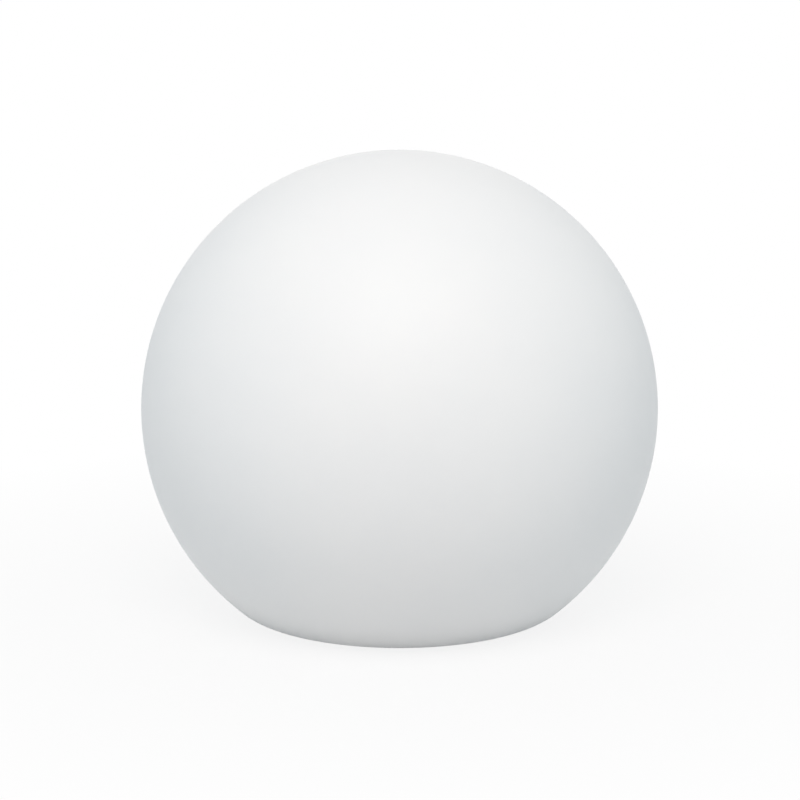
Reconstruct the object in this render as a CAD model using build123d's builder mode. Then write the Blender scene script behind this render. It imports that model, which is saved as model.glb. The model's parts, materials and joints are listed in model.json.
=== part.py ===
from build123d import *
import math
import os

# Garden globe light: a white moulded globe that lifts off a rechargeable lamp base.
# Millimetres, +Z up, front towards -Y. The origin is on the ground, on the globe's axis.

# ---------------------------------------------------------------- driving dimensions
# Globe: a moulded sphere with a flat, softly rounded foot
GLOBE_RADIUS = 150.0
GLOBE_WALL = 3.0
RIM_FLAT_WIDTH = 10.5
RIM_EDGE_RADIUS = 22.0
RIM_CLEARANCE = 1.0
RECESS_RADIUS = 70.0
RECESS_EDGE = 3.0
INSERT_COUNT = 6
INSERT_RADIUS = 3.0
INSERT_LENGTH = 8.0
INSERT_FIT = 0.05
INSERT_BOSS_WALL = 2.5
INSERT_BOSS_CAP = 1.5

# Neck ring: the bored ring under the globe's opening
NECK_BORE_RADIUS = 52.0
NECK_WALL = 2.5
NECK_FLANGE = 3.0
NECK_COLLAR_HEIGHT = 18.0
NECK_LEAD_IN = 1.0
NECK_OPENING_GAP = 0.4
NECK_RECESS_GAP = 2.3
NECK_SCREW_HEAD_ANGLE = 90.0
NECK_SCREW_RADIUS = 2.0
NECK_SCREW_HEAD_RADIUS = 3.8
NECK_SCREW_LENGTH = 9.0

# Lamp housing: a wide lower drum on the ground, a narrow upper drum inside the neck
DRUM_RECESS_GAP = 3.0
DRUM_NECK_GAP = 2.0
HOUSING_WALL = 2.5
LOWER_DRUM_HEIGHT = 15.0
DRUM_EDGE = 1.5
SEAT_GASKET = 1.5
SEAT_GASKET_SCREW_GAP = 1.0
LEDGE_WIDTH = 6.5
LEDGE_THICKNESS = 3.0
BOSS_RADIUS = 3.5

# Base cover: closes the housing from below, with a dished middle for the controls
COVER_THICKNESS = 3.0
COVER_EDGE_CHAMFER = 0.8
SPIGOT_HEIGHT = 3.6
SPIGOT_WIDTH = 2.6
SPIGOT_FIT = 0.3
SEAL_SECTION = 1.5
SEAL_GROOVE_FLOOR = 0.9
DISH_RADIUS = 34.0
DISH_DEPTH = 8.0
DISH_DRAFT = 2.0
DISH_FLOOR = 2.5
COVER_BOSS_WALL = 1.25
COVER_BOSS_GAP = 2.0
COVER_SCREW_COUNT = 6
COVER_BOSS_HEIGHT = 3.0
COVER_RIB_HEIGHT = 3.0
COVER_RIB_WIDTH = 2.0
FOOT_MARGIN = 5.0
FOOT_COUNT = 4
FOOT_RADIUS = 7.0
FOOT_HEIGHT = 2.5
FOOT_PROUD = 1.5
FOOT_EDGE = 0.6
FOOT_FIT = 0.15

# Screws: M3 for the mouldings, M2.5 for the lens and the boards
M3_RADIUS = 1.5
M3_HEAD_RADIUS = 2.8
M3_HEAD_HEIGHT = 1.8
M25_RADIUS = 1.25
M25_HEAD_RADIUS = 2.2
M25_HEAD_HEIGHT = 1.5
SCREW_HOLE_GAP = 0.2
THREAD_GAP = 0.05
HEAD_GAP = 0.3
HEAD_SINK = 0.3

# Spring clips: three bowed leaves that grip the neck's bore
CLIP_COUNT = 3
CLIP_ANGLE = 30.0
CLIP_THICKNESS = 0.5
CLIP_WIDTH = 9.0
CLIP_POCKET_WIDTH = 12.0
CLIP_POCKET_DEPTH = 2.2
CLIP_PAD_WIDTH = 17.0
CLIP_PAD_DEPTH = 4.5
CLIP_BORE_GAP = 0.3
CLIP_POCKET_FOOT = 1.5
CLIP_FREE_LENGTH = 23.0
CLIP_TAB_LENGTH = 9.0
CLIP_BEND_RADIUS = 4.0
CLIP_SCREW_LENGTH = 4.5

# Controls in the dish: power button, charging socket and its flap, charge light, vent
BUTTON_X = -16.0
BUTTON_RADIUS = 6.0
BUTTON_GAP = 0.3
BUTTON_PROUD = 0.6
BUTTON_TRAVEL = 0.8
BUTTON_LIP = 1.5
BUTTON_LIP_THICKNESS = 1.2
BUTTON_LIP_CLEARANCE = 0.2
BUTTON_SEAL_SECTION = 1.0
SWITCH_SIDE = 6.0
SWITCH_HEIGHT = 3.5
PLUNGER_RADIUS = 1.75
PLUNGER_LENGTH = 1.2
PLUNGER_GAP = 0.1
SOCKET_X = 14.0
SOCKET_LENGTH = 8.94
SOCKET_WIDTH = 3.26
SOCKET_CORNER_RADIUS = 1.5
SOCKET_WALL = 0.3
SOCKET_SINK = 1.2
SOCKET_HOLE_GAP = 0.3
TONGUE_LENGTH = 6.7
TONGUE_THICKNESS = 0.7
TONGUE_SINK = 0.8
SOCKET_BLOCK_HEIGHT = 3.5
FLAP_THICKNESS = 1.6
FLAP_GAP = 0.1
FLAP_LENGTH = 14.8
FLAP_WIDTH = 14.0
FLAP_HINGE_OFFSET = 8.3
FLAP_HINGE_GAP = 0.3
FLAP_TAB = 0.8
FLAP_TAB_WIDTH = 1.6
FLAP_CORNER_RADIUS = 1.2
ANCHOR_LENGTH = 5.0
ANCHOR_WIDTH = 8.0
ANCHOR_STEM_RADIUS = 1.5
ANCHOR_HEAD_RADIUS = 2.5
ANCHOR_HEAD_HEIGHT = 1.2
ANCHOR_HEAD_TAPER = 20.0
LIGHT_PIPE_Y = -13.0
LIGHT_PIPE_RADIUS = 1.5
LIGHT_PIPE_FLANGE = 1.0
LIGHT_PIPE_FIT = 0.1
INDICATOR_HEIGHT = 0.8
VENT_Y = 13.0
VENT_STEM_RADIUS = 2.5
VENT_CAP_RADIUS = 4.5
VENT_CAP_HEIGHT = 1.8
VENT_SLOT_WIDTH = 1.2
VENT_SLOT_COUNT = 4

# Control board and what stands on it
POST_HEIGHT = 7.0
POST_RADIUS = 3.2
POST_MARGIN = 0.3
POST_COUNT = 4
BOARD_GAP = 7.5
BOARD_THICKNESS = 1.6
CHIP_PLACES = [(-4.0, 8.0), (10.0, -9.0), (-20.0, -6.0)]
CHIP_LENGTH = 6.0
CHIP_WIDTH = 5.0
CHIP_HEIGHT = 1.2
INDUCTOR_PLACE = (-20.0, 9.0)
INDUCTOR_SIDE = 11.0
INDUCTOR_BASE = 1.0
INDUCTOR_RADIUS = 5.2
INDUCTOR_HEIGHT = 6.0
CAPACITOR_PLACES = [(20.0, 4.0), (-6.0, -14.0)]
CAPACITOR_RADIUS = 4.0
CAPACITOR_HEIGHT = 7.4
CAPACITOR_EDGE = 0.5
CRADLE_HEADROOM = 1.0
HEADER_MARGIN = 8.0
HEADER_LENGTH = 5.0
HEADER_WIDTH = 8.0
HEADER_HEIGHT = 4.6
HEADER_SHROUD = 0.6
PLUG_INSERTION = 3.0
PLUG_LENGTH = 4.5
PLUG_GAP = 0.05
LEAD_RADIUS = 0.6
LEAD_SIDES = 8
LEAD_SPACING = 2.6

# Battery: two cells in series on a cradle, under a strap
CELL_RADIUS = 9.2
CELL_LENGTH = 64.2
CELL_SPACING = 0.8
CELL_GAP = 0.3
TERMINAL_RADIUS = 3.2
TERMINAL_HEIGHT = 1.0
STRIP_THICKNESS = 0.3
STRIP_WIDTH = 7.0
CRADLE_GAP = 1.0
CRADLE_THICKNESS = 2.5
CRADLE_PAD_GAP = 0.5
CRADLE_BOSS_GAP = 1.0
CRADLE_SCREW_COUNT = 4
CRADLE_SCREW_LENGTH = 9.0
SADDLE_OFFSET = 20.0
SADDLE_THICKNESS = 3.0
SADDLE_HEIGHT = 7.0
LEAD_NOTCH_WIDTH = 18.0
LEAD_NOTCH_GAP = 0.5
CLAMP_POST_RADIUS = 3.2
CLAMP_POST_GAP = 1.0
CLAMP_WIDTH = 12.0
CLAMP_THICKNESS = 2.2
CLAMP_GAP = 0.4
CLAMP_DROP = 3.3

# Light engine: heat plate, LED board, lens dome and its ring
FIN_HEIGHT = 2.0
FIN_WIDTH = 1.2
FIN_PITCH = 8.0
FIN_COUNT = 7
FIN_GAP = 2.2
PLATE_THICKNESS = 2.5
PLATE_FIT = 0.3
LED_BOARD_GAP = 1.8
LED_BOARD_SCREW_PITCH_RADIUS = 21.5
LED_BOARD_SCREW_COUNT = 3
LED_LENGTH = 3.5
LED_WIDTH = 2.8
LED_HEIGHT = 0.8
LED_WINDOW_FRAME = 0.4
LED_WINDOW_DEPTH = 0.3
LED_MARGIN = 7.0
LED_OUTER_COUNT = 12
LED_INNER_PITCH_RADIUS = 13.0
LED_INNER_COUNT = 6
LEAD_HOLE_MARGIN = 3.0
LEAD_HOLE_GAP = 0.2
PLATE_LEAD_HOLE_RADIUS = 2.8
DOME_WALL = 2.2
DOME_FLANGE = 2.5
DOME_RISE = 16.0
DOME_SHOULDER = 9.0
DOME_RING_GAP = 0.3
DOME_SEAL_SECTION = 1.4
RING_THICKNESS = 3.0
RING_WIDTH = 8.7
RING_CHAMFER = 0.8
RING_SCREW_INSET = 2.6
RING_SCREW_COUNT = 6
RING_SCREW_START = 30.0
RING_SCREW_LENGTH = 12.0

# ---------------------------------------------------------------- levels and radii that follow
RIM_Z = RIM_CLEARANCE
EDGE_CENTRE_X = RECESS_RADIUS + RECESS_EDGE + RIM_FLAT_WIDTH
EDGE_CENTRE_Z = RIM_Z + RIM_EDGE_RADIUS
CENTRE_Z = EDGE_CENTRE_Z + math.sqrt((GLOBE_RADIUS - RIM_EDGE_RADIUS) ** 2 - EDGE_CENTRE_X**2)
COVER_BOTTOM = FOOT_PROUD
COVER_TOP = COVER_BOTTOM + COVER_THICKNESS
SHOULDER_Z = COVER_TOP + LOWER_DRUM_HEIGHT
NECK_Z = SHOULDER_Z + SEAT_GASKET
SEAT_Z = NECK_Z + NECK_FLANGE
DISH_FLOOR_Z = COVER_BOTTOM + DISH_DEPTH
DISH_TOP = DISH_FLOOR_Z + DISH_FLOOR
BOARD_Z = DISH_TOP + POST_HEIGHT
BOARD_TOP = BOARD_Z + BOARD_THICKNESS
CRADLE_Z = BOARD_TOP + CAPACITOR_HEIGHT + CRADLE_HEADROOM
CRADLE_TOP = CRADLE_Z + CRADLE_THICKNESS
CELL_X = CELL_RADIUS + CELL_SPACING / 2
CELL_Z = CRADLE_TOP + CELL_GAP + CELL_RADIUS
CLAMP_TOP = CELL_Z + CELL_RADIUS + CLAMP_GAP + CLAMP_THICKNESS
LEDGE_TOP = CLAMP_TOP + FIN_GAP + FIN_HEIGHT
PLATE_TOP = LEDGE_TOP + PLATE_THICKNESS
LED_BOARD_TOP = PLATE_TOP + BOARD_THICKNESS
DRUM_TOP = PLATE_TOP + DOME_FLANGE
RING_TOP = DRUM_TOP + RING_THICKNESS
DOME_TOP = DRUM_TOP + DOME_RISE

NECK_OUTER_RADIUS = NECK_BORE_RADIUS + NECK_WALL
OPENING_RADIUS = NECK_OUTER_RADIUS + NECK_OPENING_GAP
NECK_FLANGE_RADIUS = RECESS_RADIUS - NECK_RECESS_GAP
INSERT_PITCH_RADIUS = (OPENING_RADIUS + NECK_FLANGE_RADIUS) / 2
SEAT_GASKET_RADIUS = INSERT_PITCH_RADIUS - NECK_SCREW_HEAD_RADIUS - SEAT_GASKET_SCREW_GAP
LOWER_RADIUS = RECESS_RADIUS - DRUM_RECESS_GAP
UPPER_RADIUS = NECK_BORE_RADIUS - DRUM_NECK_GAP
UPPER_BORE = UPPER_RADIUS - HOUSING_WALL
LOWER_BORE = LOWER_RADIUS - HOUSING_WALL
PLATE_RADIUS = UPPER_BORE - PLATE_FIT
CRADLE_RADIUS = UPPER_BORE - CRADLE_GAP
BOARD_RADIUS = UPPER_BORE - BOARD_GAP
HEADER_Y = BOARD_RADIUS - HEADER_MARGIN - HEADER_LENGTH / 2
PLUG_OUT = HEADER_Y + HEADER_LENGTH / 2 + PLUG_LENGTH
PLUG_Z = BOARD_TOP + HEADER_HEIGHT / 2
DOME_FOOT_RADIUS = UPPER_RADIUS - RING_WIDTH - DOME_RING_GAP
LED_BOARD_RADIUS = DOME_FOOT_RADIUS - DOME_WALL - LED_BOARD_GAP
LEAD_HOLE_Y = LEAD_HOLE_MARGIN - LED_BOARD_RADIUS
SPIGOT_RADIUS = LOWER_BORE - SPIGOT_FIT
COVER_BOSS_RADIUS = M3_HEAD_RADIUS + HEAD_GAP + COVER_BOSS_WALL
COVER_SCREW_PITCH_RADIUS = SPIGOT_RADIUS - SPIGOT_WIDTH - COVER_BOSS_RADIUS - COVER_BOSS_GAP
FOOT_PITCH_RADIUS = LOWER_RADIUS - FOOT_RADIUS - FOOT_MARGIN
POST_PITCH_RADIUS = DISH_RADIUS + DISH_FLOOR - DISH_DRAFT - POST_RADIUS - POST_MARGIN
CRADLE_SCREW_PITCH_RADIUS = UPPER_BORE - BOSS_RADIUS - CRADLE_BOSS_GAP
RING_SCREW_PITCH_RADIUS = UPPER_BORE - RING_SCREW_INSET
LED_OUTER_PITCH_RADIUS = LED_BOARD_RADIUS - LED_MARGIN
HINGE_X = SOCKET_X + FLAP_HINGE_OFFSET
HINGE_Z = DISH_FLOOR_Z - FLAP_GAP - FLAP_THICKNESS / 2

DIAGONAL = 45.0
UNDERSIDE = (180, 0, 0)
ON_BASE = (Align.CENTER, Align.CENTER, Align.MIN)
HANGING = (Align.CENTER, Align.CENTER, Align.MAX)


def pan_head_screw(radius, length, head_radius, head_height):
    """A hexagon socket screw whose head seats at the origin, with its shank down -Z."""
    with BuildPart() as screw:
        Cylinder(head_radius, head_height, align=ON_BASE)
        with BuildSketch(Plane.XY.offset(head_height)):
            RegularPolygon(head_radius / 2, 6)
        extrude(amount=-head_height / 2, mode=Mode.SUBTRACT)
        Cylinder(radius, length, align=HANGING)
    return screw.part


def square_ring(inner_radius, outer_radius, section_height, z):
    """A seal ring of square-cut section that lies from z up by its section's height."""
    with BuildPart() as ring:
        with BuildSketch(Plane.XY.offset(z)):
            Circle(outer_radius)
            Circle(inner_radius, mode=Mode.SUBTRACT)
        extrude(amount=section_height)
    return ring.part


def bend_radii(points):
    """One radius for each corner of a lead's route, as large as its two runs allow."""
    radii = []
    for before, corner, after in zip(points, points[1:], points[2:]):
        run_in = Vector(corner) - Vector(before)
        run_out = Vector(after) - Vector(corner)
        half_turn = math.radians(run_in.get_angle(run_out)) / 2
        radii.append(0.45 * min(run_in.length, run_out.length) / math.tan(half_turn))
    return radii


def lead(points):
    """An insulated wire along a route of runs joined by tangent arcs."""
    radii = bend_radii(points)
    with BuildPart() as wire:
        with BuildLine() as route:
            FilletPolyline(*points, radius=radii)
        with BuildSketch(Plane(origin=route.line @ 0, z_dir=route.line % 0)):
            RegularPolygon(LEAD_RADIUS, LEAD_SIDES)
        sweep()
    print("lead", round(route.wire().length, 1), "mm, radii", [round(r, 1) for r in radii])
    return wire.part


# ---------------------------------------------------------------- globe
def globe_outline(inset):
    """Draws half of the globe's section, moved into the wall by inset."""
    meet = math.degrees(math.atan2(EDGE_CENTRE_Z - CENTRE_Z, EDGE_CENTRE_X))
    radius = GLOBE_RADIUS - inset
    rim_z = RIM_Z + inset
    seat_z = SEAT_Z + inset
    wall_x = RECESS_RADIUS + inset
    CenterArc((0, CENTRE_Z), radius, meet, 90 - meet)
    CenterArc((EDGE_CENTRE_X, EDGE_CENTRE_Z), RIM_EDGE_RADIUS - inset, -90, meet + 90)
    Polyline(
        (EDGE_CENTRE_X, rim_z),
        (wall_x + RECESS_EDGE, rim_z),
        (wall_x, rim_z + RECESS_EDGE),
        (wall_x, seat_z),
        (0, seat_z),
    )
    Line((0, seat_z), (0, CENTRE_Z + radius))


with BuildPart() as globe_shell:
    with BuildSketch(Plane.XZ):
        with BuildLine():
            globe_outline(0)
        make_face()
        with BuildLine():
            globe_outline(GLOBE_WALL)
        make_face(mode=Mode.SUBTRACT)
    revolve(axis=Axis.Z)
    with BuildSketch(Plane.XY.offset(SEAT_Z + GLOBE_WALL / 2)):
        with PolarLocations(INSERT_PITCH_RADIUS, INSERT_COUNT):
            Circle(INSERT_RADIUS + INSERT_BOSS_WALL)
    extrude(amount=INSERT_LENGTH + INSERT_BOSS_CAP - GLOBE_WALL / 2)
    with BuildSketch(Plane.XY.offset(SEAT_Z)):
        Circle(OPENING_RADIUS)
    extrude(amount=INSERT_LENGTH * 2, mode=Mode.SUBTRACT)
    with BuildSketch(Plane.XY.offset(SEAT_Z)):
        with PolarLocations(INSERT_PITCH_RADIUS, INSERT_COUNT):
            Circle(INSERT_RADIUS + INSERT_FIT)
    extrude(amount=INSERT_LENGTH, mode=Mode.SUBTRACT)

with BuildPart() as threaded_inserts:
    with BuildSketch(Plane.XY.offset(SEAT_Z)):
        with PolarLocations(INSERT_PITCH_RADIUS, INSERT_COUNT):
            Circle(INSERT_RADIUS)
            Circle(NECK_SCREW_RADIUS + THREAD_GAP, mode=Mode.SUBTRACT)
    extrude(amount=INSERT_LENGTH)

with BuildPart() as neck_ring:
    with BuildSketch(Plane.XY.offset(NECK_Z)):
        Circle(NECK_FLANGE_RADIUS)
    extrude(amount=NECK_FLANGE)
    with BuildSketch(Plane.XY.offset(SEAT_Z)):
        Circle(NECK_OUTER_RADIUS)
    extrude(amount=NECK_COLLAR_HEIGHT - NECK_FLANGE)
    with BuildSketch(Plane.XY.offset(NECK_Z)):
        Circle(NECK_BORE_RADIUS)
    extrude(amount=NECK_COLLAR_HEIGHT, mode=Mode.SUBTRACT)
    bore_edges = neck_ring.edges().filter_by(GeomType.CIRCLE).filter_by(
        lambda edge: abs(edge.radius - NECK_BORE_RADIUS) < THREAD_GAP
    )
    chamfer(bore_edges, NECK_LEAD_IN)
    with Locations(Location((0, 0, NECK_Z), UNDERSIDE)):
        with PolarLocations(INSERT_PITCH_RADIUS, INSERT_COUNT):
            CounterSinkHole(
                NECK_SCREW_RADIUS + SCREW_HOLE_GAP,
                NECK_SCREW_HEAD_RADIUS + SCREW_HOLE_GAP,
                NECK_FLANGE,
                NECK_SCREW_HEAD_ANGLE,
            )

with BuildPart() as countersunk_screw:
    Cylinder(NECK_SCREW_RADIUS, NECK_SCREW_LENGTH, align=ON_BASE)
    head_height = (NECK_SCREW_HEAD_RADIUS - NECK_SCREW_RADIUS) / math.tan(
        math.radians(NECK_SCREW_HEAD_ANGLE / 2)
    )
    Cone(NECK_SCREW_HEAD_RADIUS, NECK_SCREW_RADIUS, head_height, align=ON_BASE)
    with BuildSketch():
        RegularPolygon(NECK_SCREW_HEAD_RADIUS / 2, 6)
    extrude(amount=NECK_SCREW_RADIUS / 2, mode=Mode.SUBTRACT)

with BuildPart(Plane.XY.offset(NECK_Z)) as neck_ring_screws:
    with PolarLocations(INSERT_PITCH_RADIUS, INSERT_COUNT):
        add(countersunk_screw.part)

# ---------------------------------------------------------------- lamp housing
CLIP_FLAT = UPPER_RADIUS - CLIP_POCKET_DEPTH
CLIP_FOOT_Z = SHOULDER_Z + CLIP_POCKET_FOOT
CLIP_TOP_Z = CLIP_FOOT_Z + CLIP_FREE_LENGTH + CLIP_TAB_LENGTH
CLIP_SCREW_Z = CLIP_TOP_Z - CLIP_TAB_LENGTH / 2
CLIP_TURNS = [CLIP_ANGLE + k * 360 / CLIP_COUNT for k in range(CLIP_COUNT)]

with BuildPart() as base_housing:
    with BuildSketch(Plane.XZ):
        with BuildLine():
            Polyline(
                (LOWER_BORE, COVER_TOP),
                (LOWER_RADIUS, COVER_TOP),
                (LOWER_RADIUS, SHOULDER_Z),
                (UPPER_RADIUS, SHOULDER_Z),
                (UPPER_RADIUS, DRUM_TOP),
                (UPPER_BORE, DRUM_TOP),
                (UPPER_BORE, LEDGE_TOP),
                (UPPER_BORE - LEDGE_WIDTH, LEDGE_TOP),
                (UPPER_BORE - LEDGE_WIDTH, LEDGE_TOP - LEDGE_THICKNESS),
                (UPPER_BORE, LEDGE_TOP - LEDGE_THICKNESS),
                (UPPER_BORE, SHOULDER_Z - HOUSING_WALL),
                (LOWER_BORE, SHOULDER_Z - HOUSING_WALL),
                close=True,
            )
        make_face()
    revolve(axis=Axis.Z)
    shoulder_edge = base_housing.edges().filter_by(GeomType.CIRCLE).filter_by(
        lambda edge: abs(edge.radius - LOWER_RADIUS) < THREAD_GAP
    )
    chamfer(shoulder_edge.sort_by(Axis.Z)[-1], DRUM_EDGE)
    # screw bosses: cover screws from below, lens ring screws from above, cradle screws from below
    with BuildSketch(Plane.XY.offset(COVER_TOP + COVER_BOSS_HEIGHT)):
        with PolarLocations(COVER_SCREW_PITCH_RADIUS, COVER_SCREW_COUNT):
            Circle(BOSS_RADIUS)
    extrude(amount=LOWER_DRUM_HEIGHT - COVER_BOSS_HEIGHT - HOUSING_WALL / 2)
    with BuildSketch(Plane.XY.offset(LEDGE_TOP - RING_SCREW_LENGTH)):
        with PolarLocations(RING_SCREW_PITCH_RADIUS, RING_SCREW_COUNT, start_angle=RING_SCREW_START):
            Circle(BOSS_RADIUS)
    extrude(amount=RING_SCREW_LENGTH - LEDGE_THICKNESS / 2)
    with BuildSketch(Plane.XY.offset(CRADLE_TOP)):
        with PolarLocations(CRADLE_SCREW_PITCH_RADIUS, CRADLE_SCREW_COUNT, start_angle=DIAGONAL):
            Circle(BOSS_RADIUS)
    extrude(amount=LEDGE_TOP - LEDGE_THICKNESS / 2 - CRADLE_TOP)
    # flat pockets for the clips, backed by pads inside the wall
    for turn in CLIP_TURNS:
        plane = Plane.XZ.rotated((0, 0, turn))
        with BuildSketch(plane.offset(-CLIP_FLAT)):
            with Locations((0, (CLIP_FOOT_Z + CLIP_TOP_Z) / 2)):
                Rectangle(CLIP_PAD_WIDTH, CLIP_TOP_Z - CLIP_FOOT_Z)
        extrude(amount=CLIP_PAD_DEPTH)
        with BuildSketch(plane.offset(-CLIP_FLAT)):
            with Locations((0, (CLIP_FOOT_Z + CLIP_TOP_Z) / 2)):
                Rectangle(CLIP_POCKET_WIDTH, CLIP_TOP_Z - CLIP_FOOT_Z)
        extrude(amount=-CLIP_POCKET_DEPTH * 2, mode=Mode.SUBTRACT)
        with BuildSketch(plane.offset(-CLIP_FLAT)):
            with Locations((0, CLIP_SCREW_Z)):
                Circle(M25_RADIUS + THREAD_GAP)
        extrude(amount=CLIP_SCREW_LENGTH, mode=Mode.SUBTRACT)
    # pilot holes
    with BuildSketch(Plane.XY.offset(COVER_TOP)):
        with PolarLocations(COVER_SCREW_PITCH_RADIUS, COVER_SCREW_COUNT):
            Circle(M3_RADIUS + THREAD_GAP)
    extrude(amount=LOWER_DRUM_HEIGHT - HOUSING_WALL, mode=Mode.SUBTRACT)
    with BuildSketch(Plane.XY.offset(LEDGE_TOP)):
        with PolarLocations(RING_SCREW_PITCH_RADIUS, RING_SCREW_COUNT, start_angle=RING_SCREW_START):
            Circle(M25_RADIUS + THREAD_GAP)
    extrude(amount=-RING_SCREW_LENGTH + BOSS_RADIUS / 2, mode=Mode.SUBTRACT)
    with BuildSketch(Plane.XY.offset(CRADLE_TOP)):
        with PolarLocations(CRADLE_SCREW_PITCH_RADIUS, CRADLE_SCREW_COUNT, start_angle=DIAGONAL):
            Circle(M3_RADIUS + THREAD_GAP)
    extrude(amount=CRADLE_SCREW_LENGTH, mode=Mode.SUBTRACT)

with BuildPart() as seat_gasket:
    with BuildSketch(Plane.XY.offset(SHOULDER_Z)):
        Circle(SEAT_GASKET_RADIUS)
        Circle(NECK_BORE_RADIUS, mode=Mode.SUBTRACT)
    extrude(amount=SEAT_GASKET)

CLIP_REACH = NECK_BORE_RADIUS - CLIP_BORE_GAP - CLIP_THICKNESS / 2
CLIP_SEAT = CLIP_FLAT + CLIP_THICKNESS / 2
with BuildPart() as spring_clip:
    with BuildSketch(Plane.YZ):
        with BuildLine() as leaf:
            FilletPolyline(
                (CLIP_SEAT, CLIP_TOP_Z),
                (CLIP_SEAT, CLIP_TOP_Z - CLIP_TAB_LENGTH),
                (CLIP_REACH, CLIP_TOP_Z - CLIP_TAB_LENGTH - CLIP_FREE_LENGTH / 2),
                (CLIP_SEAT, CLIP_FOOT_Z + CLIP_THICKNESS),
                radius=CLIP_BEND_RADIUS,
            )
        trace(line_width=CLIP_THICKNESS)
    extrude(amount=CLIP_WIDTH / 2, both=True)
    with BuildSketch(Plane.XZ.offset(-CLIP_FLAT)):
        with Locations((0, CLIP_SCREW_Z)):
            Circle(M25_RADIUS + SCREW_HOLE_GAP)
    extrude(amount=-CLIP_THICKNESS, mode=Mode.SUBTRACT)

with BuildPart() as spring_clips:
    for turn in CLIP_TURNS:
        with Locations(Location((0, 0, 0), (0, 0, turn))):
            add(spring_clip.part)

clip_screw = pan_head_screw(M25_RADIUS, CLIP_SCREW_LENGTH, M25_HEAD_RADIUS, M25_HEAD_HEIGHT)
with BuildPart() as clip_screws:
    for turn in CLIP_TURNS:
        with Locations(Location((0, 0, 0), (0, 0, turn))):
            with Locations(Location((0, CLIP_FLAT + CLIP_THICKNESS, CLIP_SCREW_Z), (-90, 0, 0))):
                add(clip_screw)

# ---------------------------------------------------------------- base cover
HEAD_POCKET = M3_HEAD_HEIGHT + HEAD_SINK

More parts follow.
